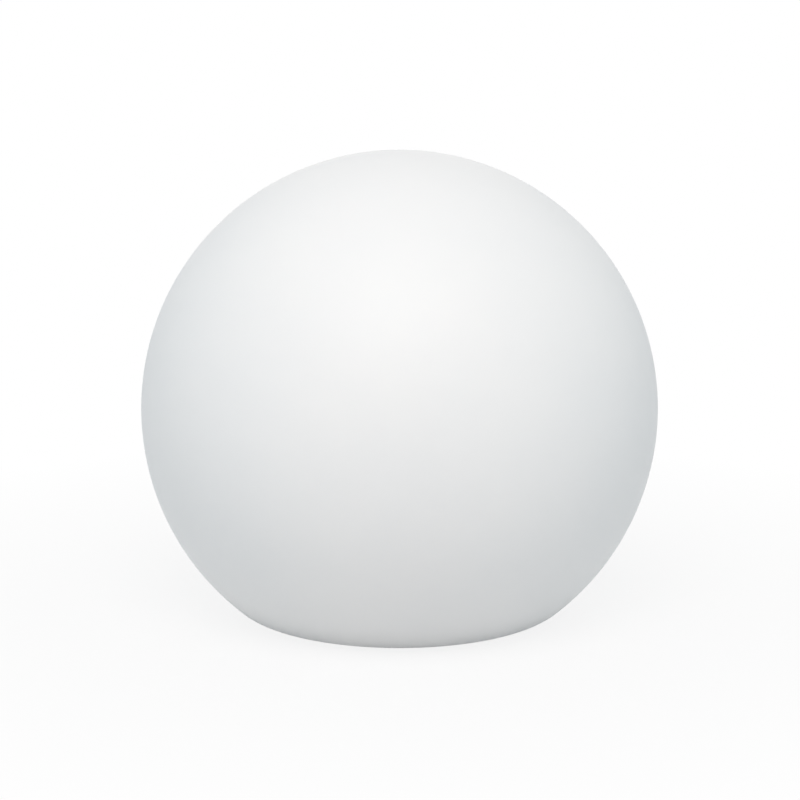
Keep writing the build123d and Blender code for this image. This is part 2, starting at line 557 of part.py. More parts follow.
with BuildPart() as base_cover:
    with BuildSketch(Plane.XZ):
        with BuildLine():
            Polyline(
                (0, DISH_FLOOR_Z),
                (DISH_RADIUS - DISH_DRAFT, DISH_FLOOR_Z),
                (DISH_RADIUS, COVER_BOTTOM),
                (LOWER_RADIUS - COVER_EDGE_CHAMFER, COVER_BOTTOM),
                (LOWER_RADIUS, COVER_BOTTOM + COVER_EDGE_CHAMFER),
                (LOWER_RADIUS, COVER_TOP),
                (SPIGOT_RADIUS, COVER_TOP),
                (SPIGOT_RADIUS, COVER_TOP + SPIGOT_HEIGHT),
                (SPIGOT_RADIUS - SPIGOT_WIDTH, COVER_TOP + SPIGOT_HEIGHT),
                (SPIGOT_RADIUS - SPIGOT_WIDTH, COVER_TOP),
                (DISH_RADIUS + DISH_FLOOR, COVER_TOP),
                (DISH_RADIUS + DISH_FLOOR - DISH_DRAFT, DISH_TOP),
                (0, DISH_TOP),
                close=True,
            )
        make_face()
        # groove for the seal round the spigot
        with Locations((SPIGOT_RADIUS - SEAL_GROOVE_FLOOR / 2, COVER_TOP + SPIGOT_HEIGHT / 2)):
            Rectangle(SEAL_GROOVE_FLOOR, SEAL_SECTION + SPIGOT_FIT, mode=Mode.SUBTRACT)
    revolve(axis=Axis.Z)
    with BuildSketch(Plane.XY.offset(COVER_TOP)):
        with PolarLocations(COVER_SCREW_PITCH_RADIUS, COVER_SCREW_COUNT):
            Circle(COVER_BOSS_RADIUS)
    extrude(amount=COVER_BOSS_HEIGHT)
    with BuildSketch(Plane.XY.offset(COVER_TOP)):
        with PolarLocations(
            (DISH_RADIUS + SPIGOT_RADIUS) / 2, COVER_SCREW_COUNT, start_angle=180 / COVER_SCREW_COUNT
        ):
            Rectangle(SPIGOT_RADIUS - SPIGOT_WIDTH - DISH_RADIUS, COVER_RIB_WIDTH)
    extrude(amount=COVER_RIB_HEIGHT)
    with BuildSketch(Plane.XY.offset(DISH_TOP)):
        with PolarLocations(POST_PITCH_RADIUS, POST_COUNT, start_angle=DIAGONAL):
            Circle(POST_RADIUS)
    extrude(amount=POST_HEIGHT)
    # cover screws with sunk heads, pockets for the feet, pilot holes for the board's screws
    with Locations(Location((0, 0, COVER_BOTTOM), UNDERSIDE)):
        with PolarLocations(COVER_SCREW_PITCH_RADIUS, COVER_SCREW_COUNT):
            CounterBoreHole(
                M3_RADIUS + SCREW_HOLE_GAP,
                M3_HEAD_RADIUS + HEAD_GAP,
                HEAD_POCKET,
                COVER_THICKNESS + COVER_BOSS_HEIGHT,
            )
    with BuildSketch(Plane.XY.offset(COVER_BOTTOM)):
        with PolarLocations(FOOT_PITCH_RADIUS, FOOT_COUNT, start_angle=DIAGONAL):
            Circle(FOOT_RADIUS + FOOT_FIT)
    extrude(amount=FOOT_HEIGHT - FOOT_PROUD, mode=Mode.SUBTRACT)
    with BuildSketch(Plane.XY.offset(BOARD_Z)):
        with PolarLocations(POST_PITCH_RADIUS, POST_COUNT, start_angle=DIAGONAL):
            Circle(M25_RADIUS + THREAD_GAP)
    extrude(amount=-POST_HEIGHT, mode=Mode.SUBTRACT)
    # openings for the controls
    with BuildSketch(Plane.XY.offset(DISH_FLOOR_Z)):
        with Locations((BUTTON_X, 0)):
            Circle(BUTTON_RADIUS + BUTTON_GAP)
        with Locations((SOCKET_X, 0)):
            RectangleRounded(
                SOCKET_WIDTH + 2 * SOCKET_HOLE_GAP,
                SOCKET_LENGTH + 2 * SOCKET_HOLE_GAP,
                SOCKET_CORNER_RADIUS + SOCKET_HOLE_GAP,
            )
        with Locations((HINGE_X + FLAP_THICKNESS / 2 + FLAP_HINGE_GAP + ANCHOR_LENGTH / 2, 0)):
            Circle(ANCHOR_STEM_RADIUS + LIGHT_PIPE_FIT)
        with Locations((0, LIGHT_PIPE_Y)):
            Circle(LIGHT_PIPE_RADIUS + LIGHT_PIPE_FIT)
        with Locations((0, VENT_Y)):
            Circle(VENT_STEM_RADIUS + LIGHT_PIPE_FIT)
    extrude(amount=DISH_FLOOR, mode=Mode.SUBTRACT)
    with BuildSketch(Plane.XY.offset(DISH_FLOOR_Z + DISH_FLOOR / 2)):
        with Locations((BUTTON_X, 0)):
            Circle(BUTTON_RADIUS + BUTTON_SEAL_SECTION)
    extrude(amount=BUTTON_SEAL_SECTION / 2 + BUTTON_GAP / 2, both=True, mode=Mode.SUBTRACT)

with BuildPart() as cover_seal:
    add(
        square_ring(
            SPIGOT_RADIUS - SEAL_GROOVE_FLOOR,
            LOWER_BORE,
            SEAL_SECTION,
            COVER_TOP + (SPIGOT_HEIGHT - SEAL_SECTION) / 2,
        )
    )

cover_screw = pan_head_screw(
    M3_RADIUS, LOWER_DRUM_HEIGHT - HOUSING_WALL - HEAD_POCKET, M3_HEAD_RADIUS, M3_HEAD_HEIGHT
)
with BuildPart(Plane.XY.offset(COVER_BOTTOM + HEAD_POCKET)) as cover_screws:
    with PolarLocations(COVER_SCREW_PITCH_RADIUS, COVER_SCREW_COUNT):
        add(cover_screw, rotation=UNDERSIDE)

with BuildPart() as rubber_feet:
    with PolarLocations(FOOT_PITCH_RADIUS, FOOT_COUNT, start_angle=DIAGONAL):
        Cylinder(FOOT_RADIUS, FOOT_HEIGHT, align=ON_BASE)
    chamfer(rubber_feet.edges().group_by(Axis.Z)[0], FOOT_EDGE)

# ---------------------------------------------------------------- controls
LIP_Z = DISH_TOP + BUTTON_LIP_CLEARANCE
PLUNGER_TIP_Z = BOARD_Z - SWITCH_HEIGHT - PLUNGER_LENGTH

with BuildPart() as power_button:
    with BuildSketch(Plane.XY.offset(DISH_FLOOR_Z - BUTTON_PROUD)):
        with Locations((BUTTON_X, 0)):
            Circle(BUTTON_RADIUS)
    extrude(amount=BUTTON_PROUD + DISH_FLOOR + BUTTON_LIP_CLEARANCE)
    chamfer(power_button.edges().group_by(Axis.Z)[0], BUTTON_PROUD / 2)
    with BuildSketch(Plane.XY.offset(LIP_Z)):
        with Locations((BUTTON_X, 0)):
            Circle(BUTTON_RADIUS + BUTTON_LIP)
    extrude(amount=BUTTON_LIP_THICKNESS)
    with BuildSketch(Plane.XY.offset(LIP_Z + BUTTON_LIP_THICKNESS)):
        with Locations((BUTTON_X, 0)):
            Circle(PLUNGER_RADIUS)
    extrude(amount=PLUNGER_TIP_Z - LIP_Z - BUTTON_LIP_THICKNESS)

with BuildPart() as button_seal:
    with Locations((BUTTON_X, 0, 0)):
        add(
            square_ring(
                BUTTON_RADIUS + BUTTON_GAP / 3,
                BUTTON_RADIUS + BUTTON_SEAL_SECTION,
                BUTTON_SEAL_SECTION,
                DISH_FLOOR_Z + (DISH_FLOOR - BUTTON_SEAL_SECTION) / 2,
            )
        )

with BuildPart() as switch_body:
    with Locations((BUTTON_X, 0, BOARD_Z)):
        Box(SWITCH_SIDE, SWITCH_SIDE, SWITCH_HEIGHT, align=HANGING)
    with BuildSketch(Plane.XY.offset(BOARD_Z - SWITCH_HEIGHT)):
        with Locations((BUTTON_X, 0)):
            Circle(PLUNGER_RADIUS + PLUNGER_GAP)
    extrude(amount=BUTTON_TRAVEL + PLUNGER_LENGTH + PLUNGER_GAP, mode=Mode.SUBTRACT)

with BuildPart() as switch_plunger:
    with BuildSketch(Plane.XY.offset(PLUNGER_TIP_Z)):
        with Locations((BUTTON_X, 0)):
            Circle(PLUNGER_RADIUS)
    extrude(amount=2 * PLUNGER_LENGTH)

with BuildPart() as charge_socket:
    with BuildSketch(Plane.XY.offset(DISH_FLOOR_Z + SOCKET_SINK)):
        with Locations((SOCKET_X, 0)):
            RectangleRounded(SOCKET_WIDTH, SOCKET_LENGTH, SOCKET_CORNER_RADIUS)
            RectangleRounded(
                SOCKET_WIDTH - 2 * SOCKET_WALL,
                SOCKET_LENGTH - 2 * SOCKET_WALL,
                SOCKET_CORNER_RADIUS - SOCKET_WALL,
                mode=Mode.SUBTRACT,
            )
    extrude(amount=BOARD_Z - DISH_FLOOR_Z - SOCKET_SINK)

with BuildPart() as socket_tongue:
    with BuildSketch(Plane.XY.offset(BOARD_Z - SOCKET_BLOCK_HEIGHT)):
        with Locations((SOCKET_X, 0)):
            RectangleRounded(
                SOCKET_WIDTH - 2 * SOCKET_WALL - PLUG_GAP,
                SOCKET_LENGTH - 2 * SOCKET_WALL - PLUG_GAP,
                SOCKET_CORNER_RADIUS - SOCKET_WALL - PLUG_GAP,
            )
    extrude(amount=SOCKET_BLOCK_HEIGHT)
    with BuildSketch(Plane.XY.offset(DISH_FLOOR_Z + SOCKET_SINK + TONGUE_SINK)):
        with Locations((SOCKET_X, 0)):
            Rectangle(TONGUE_THICKNESS, TONGUE_LENGTH)
    extrude(amount=POST_HEIGHT)

with BuildPart() as port_cover:
    with BuildSketch(Plane.XZ):
        with Locations((HINGE_X - FLAP_LENGTH / 2, HINGE_Z)):
            Rectangle(FLAP_LENGTH, FLAP_THICKNESS)
        with Locations((HINGE_X, HINGE_Z)):
            Circle(FLAP_THICKNESS / 2)
        with Locations(
            (HINGE_X - FLAP_LENGTH + FLAP_TAB_WIDTH / 2, HINGE_Z - (FLAP_THICKNESS + FLAP_TAB) / 2)
        ):
            Rectangle(FLAP_TAB_WIDTH, FLAP_TAB)
    extrude(amount=FLAP_WIDTH / 2, both=True)
    free_corners = port_cover.edges().filter_by(Axis.Z).group_by(Axis.X)[0]
    fillet(free_corners, FLAP_CORNER_RADIUS)
    with BuildSketch(Plane.XY.offset(DISH_FLOOR_Z - FLAP_GAP)):
        with Locations((SOCKET_X, 0)):
            RectangleRounded(SOCKET_WIDTH, SOCKET_LENGTH, SOCKET_CORNER_RADIUS)
    extrude(amount=SOCKET_SINK)

ANCHOR_X = HINGE_X + FLAP_THICKNESS / 2 + FLAP_HINGE_GAP + ANCHOR_LENGTH / 2
with BuildPart() as port_cover_anchor:
    with BuildSketch(Plane.XY.offset(DISH_FLOOR_Z)):
        with Locations((ANCHOR_X, 0)):
            RectangleRounded(ANCHOR_LENGTH, ANCHOR_WIDTH, ANCHOR_STEM_RADIUS)
    extrude(amount=-FLAP_THICKNESS)
    with BuildSketch(Plane.XY.offset(DISH_FLOOR_Z)):
        with Locations((ANCHOR_X, 0)):
            Circle(ANCHOR_STEM_RADIUS)
    extrude(amount=DISH_FLOOR)
    with BuildSketch(Plane.XY.offset(DISH_TOP)):
        with Locations((ANCHOR_X, 0)):
            Circle(ANCHOR_HEAD_RADIUS)
    extrude(amount=ANCHOR_HEAD_HEIGHT, taper=ANCHOR_HEAD_TAPER)

with BuildPart() as light_pipe:
    with BuildSketch(Plane.XY.offset(DISH_FLOOR_Z)):
        with Locations((0, LIGHT_PIPE_Y)):
            Circle(LIGHT_PIPE_RADIUS)
    extrude(amount=BOARD_Z - INDICATOR_HEIGHT - FLAP_HINGE_GAP - DISH_FLOOR_Z)
    with BuildSketch(Plane.XY.offset(DISH_TOP)):
        with Locations((0, LIGHT_PIPE_Y)):
            Circle(LIGHT_PIPE_RADIUS + LIGHT_PIPE_FLANGE)
    extrude(amount=LIGHT_PIPE_FLANGE)

with BuildPart() as indicator_led:
    with Locations((0, LIGHT_PIPE_Y, BOARD_Z)):
        Box(2 * INDICATOR_HEIGHT, INDICATOR_HEIGHT, INDICATOR_HEIGHT, align=HANGING)

with BuildPart() as breather_vent:
    with BuildSketch(Plane.XY.offset(DISH_FLOOR_Z)):
        with Locations((0, VENT_Y)):
            Circle(VENT_CAP_RADIUS)
            with PolarLocations(VENT_CAP_RADIUS, VENT_SLOT_COUNT, start_angle=DIAGONAL):
                Rectangle(2 * VENT_SLOT_WIDTH, VENT_SLOT_WIDTH, mode=Mode.SUBTRACT)
    extrude(amount=-VENT_CAP_HEIGHT)
    with BuildSketch(Plane.XY.offset(DISH_FLOOR_Z)):
        with Locations((0, VENT_Y)):
            Circle(VENT_STEM_RADIUS)
    extrude(amount=DISH_FLOOR + ANCHOR_HEAD_HEIGHT)

# ---------------------------------------------------------------- control board
with BuildPart() as control_board:
    with BuildSketch(Plane.XY.offset(BOARD_Z)):
        Circle(BOARD_RADIUS)
        with PolarLocations(POST_PITCH_RADIUS, POST_COUNT, start_angle=DIAGONAL):
            Circle(M25_RADIUS + SCREW_HOLE_GAP, mode=Mode.SUBTRACT)
    extrude(amount=BOARD_THICKNESS)

board_screw = pan_head_screw(M25_RADIUS, POST_HEIGHT - BOARD_THICKNESS, M25_HEAD_RADIUS, M25_HEAD_HEIGHT)
with BuildPart(Plane.XY.offset(BOARD_TOP)) as control_board_screws:
    with PolarLocations(POST_PITCH_RADIUS, POST_COUNT, start_angle=DIAGONAL):
        add(board_screw)

with BuildPart(Plane.XY.offset(BOARD_TOP)) as driver_chips:
    with Locations(*CHIP_PLACES):
        Box(CHIP_LENGTH, CHIP_WIDTH, CHIP_HEIGHT, align=ON_BASE)

with BuildPart(Plane.XY.offset(BOARD_TOP)) as power_inductor:
    with Locations(INDUCTOR_PLACE):
        Box(INDUCTOR_SIDE, INDUCTOR_SIDE, INDUCTOR_BASE, align=ON_BASE)
        Cylinder(INDUCTOR_RADIUS, INDUCTOR_HEIGHT, align=ON_BASE)

with BuildPart(Plane.XY.offset(BOARD_TOP)) as capacitors:
    with Locations(*CAPACITOR_PLACES):
        Cylinder(CAPACITOR_RADIUS, CAPACITOR_HEIGHT, align=ON_BASE)
    chamfer(capacitors.edges().group_by(Axis.Z)[-1], CAPACITOR_EDGE)

SHROUD_INNER_WIDTH = HEADER_WIDTH - 2 * HEADER_SHROUD
SHROUD_INNER_HEIGHT = HEADER_HEIGHT - 2 * HEADER_SHROUD
SOCKET_MOUTH_Y = HEADER_Y + HEADER_LENGTH / 2

# each header is a shrouded box that opens outwards, and its plug goes in part of the way
with BuildPart(Plane.XY.offset(BOARD_TOP)) as board_headers:
    with Locations((0, HEADER_Y), (0, -HEADER_Y)):
        Box(HEADER_WIDTH, HEADER_LENGTH, HEADER_HEIGHT, align=ON_BASE)
    with Locations((0, SOCKET_MOUTH_Y, HEADER_SHROUD), (0, -SOCKET_MOUTH_Y, HEADER_SHROUD)):
        Box(
            SHROUD_INNER_WIDTH,
            2 * PLUG_INSERTION,
            SHROUD_INNER_HEIGHT,
            align=ON_BASE,
            mode=Mode.SUBTRACT,
        )

PLUG_FULL_LENGTH = PLUG_LENGTH + PLUG_INSERTION - PLUG_GAP
PLUG_MID_Y = PLUG_OUT - PLUG_FULL_LENGTH / 2
with BuildPart(Plane.XY.offset(BOARD_TOP + HEADER_SHROUD + PLUG_GAP)) as lead_plugs:
    with Locations((0, PLUG_MID_Y), (0, -PLUG_MID_Y)):
        Box(
            SHROUD_INNER_WIDTH - 2 * PLUG_GAP,
            PLUG_FULL_LENGTH,
            SHROUD_INNER_HEIGHT - 2 * PLUG_GAP,
            align=ON_BASE,
        )

# ---------------------------------------------------------------- battery
CELL_END = CELL_LENGTH / 2
with BuildPart() as battery_cells:
    with BuildSketch(Plane.XZ):
        with Locations((-CELL_X, CELL_Z), (CELL_X, CELL_Z)):
            Circle(CELL_RADIUS)
    extrude(amount=CELL_END, both=True)
    chamfer(battery_cells.edges().filter_by(GeomType.CIRCLE), TERMINAL_HEIGHT / 2)

with BuildPart() as cell_terminals:
    with BuildSketch(Plane.XZ.offset(-CELL_END)):
        with Locations((-CELL_X, CELL_Z)):
            Circle(TERMINAL_RADIUS)
    extrude(amount=-TERMINAL_HEIGHT)
    with BuildSketch(Plane.XZ.offset(CELL_END)):
        with Locations((CELL_X, CELL_Z)):
            Circle(TERMINAL_RADIUS)
    extrude(amount=TERMINAL_HEIGHT)

# two tabs on the lead side, one link across both cells on the other
TAB_Y = CELL_END + TERMINAL_HEIGHT + STRIP_THICKNESS
LEAD_SIDE = (Align.CENTER, Align.MIN, Align.CENTER)
LINK_SIDE = (Align.CENTER, Align.MAX, Align.CENTER)
with BuildPart() as nickel_strips:
    with Locations((-CELL_X, CELL_END + TERMINAL_HEIGHT, CELL_Z)):
        Box(STRIP_WIDTH, STRIP_THICKNESS, STRIP_WIDTH, align=LEAD_SIDE)
    with Locations((CELL_X, CELL_END, CELL_Z)):
        Box(STRIP_WIDTH, TERMINAL_HEIGHT + STRIP_THICKNESS, STRIP_WIDTH, align=LEAD_SIDE)
    with Locations((0, -CELL_END - TERMINAL_HEIGHT, CELL_Z)):
        Box(2 * CELL_X + STRIP_WIDTH, STRIP_THICKNESS, STRIP_WIDTH, align=LINK_SIDE)
    with Locations((-CELL_X, -CELL_END, CELL_Z)):
        Box(STRIP_WIDTH, TERMINAL_HEIGHT + STRIP_THICKNESS, STRIP_WIDTH, align=LINK_SIDE)

CLAMP_POST_X = CELL_X + CELL_RADIUS + CLAMP_POST_GAP + CLAMP_POST_RADIUS
CLAMP_FOOT_Z = CLAMP_TOP - CLAMP_THICKNESS - CLAMP_DROP
with BuildPart() as battery_cradle:
    with BuildSketch(Plane.XY.offset(CRADLE_Z)):
        Circle(CRADLE_RADIUS)
        with Locations((0, CRADLE_RADIUS), (0, -CRADLE_RADIUS)):
            Rectangle(
                LEAD_NOTCH_WIDTH, 2 * (CRADLE_RADIUS - PLUG_OUT + LEAD_NOTCH_GAP), mode=Mode.SUBTRACT
            )
        with PolarLocations(CLIP_FLAT, CLIP_COUNT, start_angle=90 + CLIP_ANGLE):
            Rectangle(
                2 * (CLIP_PAD_DEPTH + CRADLE_PAD_GAP), CLIP_PAD_WIDTH + 2 * CRADLE_PAD_GAP, mode=Mode.SUBTRACT
            )
        with PolarLocations(CRADLE_SCREW_PITCH_RADIUS, CRADLE_SCREW_COUNT, start_angle=DIAGONAL):
            Circle(M3_RADIUS + SCREW_HOLE_GAP, mode=Mode.SUBTRACT)
    extrude(amount=CRADLE_THICKNESS)
    for saddle_y in (-SADDLE_OFFSET, SADDLE_OFFSET):
        with BuildSketch(Plane.XZ.offset(saddle_y)):
            with Locations((0, CRADLE_TOP + SADDLE_HEIGHT / 2)):
                Rectangle(2 * (CELL_X + CELL_RADIUS), SADDLE_HEIGHT)
            with Locations((-CELL_X, CELL_Z), (CELL_X, CELL_Z)):
                Circle(CELL_RADIUS + CELL_GAP, mode=Mode.SUBTRACT)
        extrude(amount=SADDLE_THICKNESS / 2, both=True)
    with BuildSketch(Plane.XY.offset(CRADLE_TOP)):
        with Locations((-CLAMP_POST_X, 0), (CLAMP_POST_X, 0)):
            Circle(CLAMP_POST_RADIUS)
    extrude(amount=CLAMP_FOOT_Z - CRADLE_TOP)
    with BuildSketch(Plane.XY.offset(CLAMP_FOOT_Z)):
        with Locations((-CLAMP_POST_X, 0), (CLAMP_POST_X, 0)):
            Circle(M3_RADIUS + THREAD_GAP)
    extrude(amount=-CRADLE_SCREW_LENGTH, mode=Mode.SUBTRACT)

STRAP_MID = CLAMP_TOP - CLAMP_THICKNESS / 2
with BuildPart() as battery_clamp:
    with BuildSketch(Plane.XZ):
        with BuildLine():
            FilletPolyline(
                (-CLAMP_POST_X - CLAMP_POST_RADIUS, STRAP_MID - CLAMP_DROP),
                (-CELL_X - CELL_RADIUS, STRAP_MID - CLAMP_DROP),
                (-CELL_X - CELL_RADIUS / 2, STRAP_MID),
                (CELL_X + CELL_RADIUS / 2, STRAP_MID),
                (CELL_X + CELL_RADIUS, STRAP_MID - CLAMP_DROP),
                (CLAMP_POST_X + CLAMP_POST_RADIUS, STRAP_MID - CLAMP_DROP),
                radius=CLAMP_THICKNESS / 2 + CLAMP_GAP,
            )
        trace(line_width=CLAMP_THICKNESS)
    extrude(amount=CLAMP_WIDTH / 2, both=True)
    with BuildSketch(Plane.XY.offset(CLAMP_FOOT_Z)):
        with Locations((-CLAMP_POST_X, 0), (CLAMP_POST_X, 0)):
            Circle(M3_RADIUS + SCREW_HOLE_GAP)
    extrude(amount=2 * CLAMP_THICKNESS, mode=Mode.SUBTRACT)

clamp_screw = pan_head_screw(M3_RADIUS, CRADLE_SCREW_LENGTH, M3_HEAD_RADIUS, M3_HEAD_HEIGHT)
with BuildPart(Plane.XY.offset(CLAMP_FOOT_Z + CLAMP_THICKNESS)) as clamp_screws:
    with Locations((-CLAMP_POST_X, 0), (CLAMP_POST_X, 0)):
        add(clamp_screw)

with BuildPart(Plane.XY.offset(CRADLE_Z)) as cradle_screws:
    with PolarLocations(CRADLE_SCREW_PITCH_RADIUS, CRADLE_SCREW_COUNT, start_angle=DIAGONAL):
        add(clamp_screw, rotation=UNDERSIDE)

# ---------------------------------------------------------------- light engine
with BuildPart() as heat_plate:
    with BuildSketch(Plane.XY.offset(LEDGE_TOP)):
        Circle(PLATE_RADIUS)
        with PolarLocations(RING_SCREW_PITCH_RADIUS, RING_SCREW_COUNT, start_angle=RING_SCREW_START):
            Circle(M25_RADIUS + SCREW_HOLE_GAP, mode=Mode.SUBTRACT)
        with Locations((0, LEAD_HOLE_Y)):
            Circle(PLATE_LEAD_HOLE_RADIUS, mode=Mode.SUBTRACT)
    extrude(amount=PLATE_THICKNESS)
    with BuildSketch(Plane.XY.offset(LEDGE_TOP)) as fins:
        with GridLocations(FIN_PITCH, 0, FIN_COUNT, 1):
            Rectangle(FIN_WIDTH, 2 * LED_OUTER_PITCH_RADIUS)
        Circle(LED_OUTER_PITCH_RADIUS, mode=Mode.INTERSECT)
    extrude(amount=-FIN_HEIGHT)
    with BuildSketch(Plane.XY.offset(PLATE_TOP)):
        with PolarLocations(LED_BOARD_SCREW_PITCH_RADIUS, LED_BOARD_SCREW_COUNT, start_angle=90):
            Circle(M25_RADIUS + THREAD_GAP)
    extrude(amount=-PLATE_THICKNESS, mode=Mode.SUBTRACT)

with BuildPart() as led_board:
    with BuildSketch(Plane.XY.offset(PLATE_TOP)):
        Circle(LED_BOARD_RADIUS)
        with PolarLocations(LED_BOARD_SCREW_PITCH_RADIUS, LED_BOARD_SCREW_COUNT, start_angle=90):
            Circle(M25_RADIUS + SCREW_HOLE_GAP, mode=Mode.SUBTRACT)
        with Locations((-LEAD_SPACING / 2, LEAD_HOLE_Y), (LEAD_SPACING / 2, LEAD_HOLE_Y)):
            Circle(LEAD_RADIUS + LEAD_HOLE_GAP, mode=Mode.SUBTRACT)
    extrude(amount=BOARD_THICKNESS)

led_board_screw = pan_head_screw(
    M25_RADIUS, PLATE_THICKNESS + BOARD_THICKNESS / 2, M25_HEAD_RADIUS, M25_HEAD_HEIGHT
)
with BuildPart(Plane.XY.offset(LED_BOARD_TOP)) as led_board_screws:
    with PolarLocations(LED_BOARD_SCREW_PITCH_RADIUS, LED_BOARD_SCREW_COUNT, start_angle=90):
        add(led_board_screw)

LED_WINDOW_LENGTH = LED_LENGTH - 2 * LED_WINDOW_FRAME
LED_WINDOW_WIDTH = LED_WIDTH - 2 * LED_WINDOW_FRAME
LED_RINGS = [
    (LED_OUTER_PITCH_RADIUS, LED_OUTER_COUNT, 180 / LED_OUTER_COUNT),
    (LED_INNER_PITCH_RADIUS, LED_INNER_COUNT, 0),
]
with BuildPart() as led_packages:
    for ring_radius, ring_count, ring_start in LED_RINGS:
        with BuildSketch(Plane.XY.offset(LED_BOARD_TOP)):
            with PolarLocations(ring_radius, ring_count, start_angle=ring_start):
                Rectangle(LED_LENGTH, LED_WIDTH)
        extrude(amount=LED_HEIGHT)
        with BuildSketch(Plane.XY.offset(LED_BOARD_TOP + LED_HEIGHT)):
            with PolarLocations(ring_radius, ring_count, start_angle=ring_start):
                Rectangle(LED_WINDOW_LENGTH, LED_WINDOW_WIDTH)
        extrude(amount=-LED_WINDOW_DEPTH, mode=Mode.SUBTRACT)

with BuildPart() as led_emitters:
    for ring_radius, ring_count, ring_start in LED_RINGS:
        with BuildSketch(Plane.XY.offset(LED_BOARD_TOP + LED_HEIGHT - LED_WINDOW_DEPTH)):
            with PolarLocations(ring_radius, ring_count, start_angle=ring_start):
                Rectangle(LED_WINDOW_LENGTH - THREAD_GAP, LED_WINDOW_WIDTH - THREAD_GAP)
        extrude(amount=LED_WINDOW_DEPTH - THREAD_GAP)

DOME_MITRE = DOME_WALL * math.tan(math.radians(45 / 2))
DOME_SEAL_RADIUS = DOME_FOOT_RADIUS + DOME_SEAL_SECTION
# an opal cap: upright side, 45 degree shoulder, flat top, and a flange under the ring
with BuildPart() as lens_dome:
    with BuildSketch(Plane.XZ):
        with BuildLine():
            Polyline(
                (0, DOME_TOP),
                (DOME_FOOT_RADIUS - DOME_SHOULDER, DOME_TOP),
                (DOME_FOOT_RADIUS, DOME_TOP - DOME_SHOULDER),
                (DOME_FOOT_RADIUS, DRUM_TOP),
                (PLATE_RADIUS, DRUM_TOP),
                (PLATE_RADIUS, PLATE_TOP),
                (DOME_FOOT_RADIUS - DOME_WALL, PLATE_TOP),
                (DOME_FOOT_RADIUS - DOME_WALL, DOME_TOP - DOME_SHOULDER - DOME_MITRE),
                (DOME_FOOT_RADIUS - DOME_SHOULDER - DOME_MITRE, DOME_TOP - DOME_WALL),
                (0, DOME_TOP - DOME_WALL),
                close=True,
            )
        make_face()
        # groove for the seal in the flange's underside
        with Locations((DOME_SEAL_RADIUS, PLATE_TOP)):
            Rectangle(DOME_SEAL_SECTION + PLUG_GAP, 2 * DOME_SEAL_SECTION, mode=Mode.SUBTRACT)
    revolve(axis=Axis.Z)
    with BuildSketch(Plane.XY.offset(PLATE_TOP)):
        with PolarLocations(RING_SCREW_PITCH_RADIUS, RING_SCREW_COUNT, start_angle=RING_SCREW_START):
            Circle(M25_RADIUS + SCREW_HOLE_GAP)
    extrude(amount=DOME_FLANGE, mode=Mode.SUBTRACT)

with BuildPart() as dome_seal:
    add(
        square_ring(
            DOME_SEAL_RADIUS - DOME_SEAL_SECTION / 2,
            DOME_SEAL_RADIUS + DOME_SEAL_SECTION / 2,
            DOME_SEAL_SECTION,
            PLATE_TOP,
        )
    )

RING_POCKET = M25_HEAD_HEIGHT + HEAD_SINK
with BuildPart() as dome_ring:
    with BuildSketch(Plane.XY.offset(DRUM_TOP)):
        Circle(UPPER_RADIUS)
        Circle(UPPER_RADIUS - RING_WIDTH, mode=Mode.SUBTRACT)
    extrude(amount=RING_THICKNESS)
    chamfer(dome_ring.edges().group_by(Axis.Z)[-1].sort_by(SortBy.RADIUS)[-1], RING_CHAMFER)
    with Locations((0, 0, RING_TOP)):
        with PolarLocations(RING_SCREW_PITCH_RADIUS, RING_SCREW_COUNT, start_angle=RING_SCREW_START):
            CounterBoreHole(
                M25_RADIUS + SCREW_HOLE_GAP, M25_HEAD_RADIUS + HEAD_GAP, RING_POCKET, RING_THICKNESS
            )

ring_screw = pan_head_screw(
    M25_RADIUS,
    RING_SCREW_LENGTH + DOME_FLANGE + PLATE_THICKNESS - BOSS_RADIUS,
    M25_HEAD_RADIUS,
    M25_HEAD_HEIGHT,
)
with BuildPart(Plane.XY.offset(RING_TOP - RING_POCKET)) as dome_ring_screws:
    with PolarLocations(RING_SCREW_PITCH_RADIUS, RING_SCREW_COUNT, start_angle=RING_SCREW_START):
        add(ring_screw)

# ---------------------------------------------------------------- leads
def battery_route(side):
    """A lead's route from its plug, out through the cradle's notch, to a cell's tab."""
    near = side * LEAD_SPACING / 2
    far = side * CELL_X
    return [
        (near, PLUG_OUT, PLUG_Z),
        (near, PLUG_OUT + 4.2, PLUG_Z),
        (near + side * 0.4, PLUG_OUT + 7.4, PLUG_Z + 2.8),
        (near + side * 1.2, PLUG_OUT + 8.0, PLUG_Z + 7.2),
        (near + side * 3.4, PLUG_OUT + 7.2, PLUG_Z + 11.4),
        (far - side * 1.6, PLUG_OUT + 5.6, CELL_Z - 3.2),
        (far, TAB_Y + 4.2, CELL_Z - 0.3),
        (far, TAB_Y, CELL_Z - 0.3),
    ]


def led_route(side):
    """A lead's route from its plug, up past the cells and through the heat plate to the LED board."""
    x = side * LEAD_SPACING / 2
    return [
        (x, -PLUG_OUT, PLUG_Z),
        (x, -PLUG_OUT - 4.0, PLUG_Z),
        (x, -PLUG_OUT - 7.0, PLUG_Z + 2.8),
        (x, -PLUG_OUT - 7.4, PLUG_Z + 7.6),
        (x, -PLUG_OUT - 6.4, CELL_Z - 4.0),
        (x, -PLUG_OUT - 3.6, CELL_Z + 3.5),
        (x, LEAD_HOLE_Y - 3.6, LEDGE_TOP - 6.5),
        (x, LEAD_HOLE_Y - 0.4, LEDGE_TOP - 1.5),
        (x, LEAD_HOLE_Y, LEDGE_TOP + 2.0),
        (x, LEAD_HOLE_Y, LED_BOARD_TOP + LEAD_RADIUS),
    ]


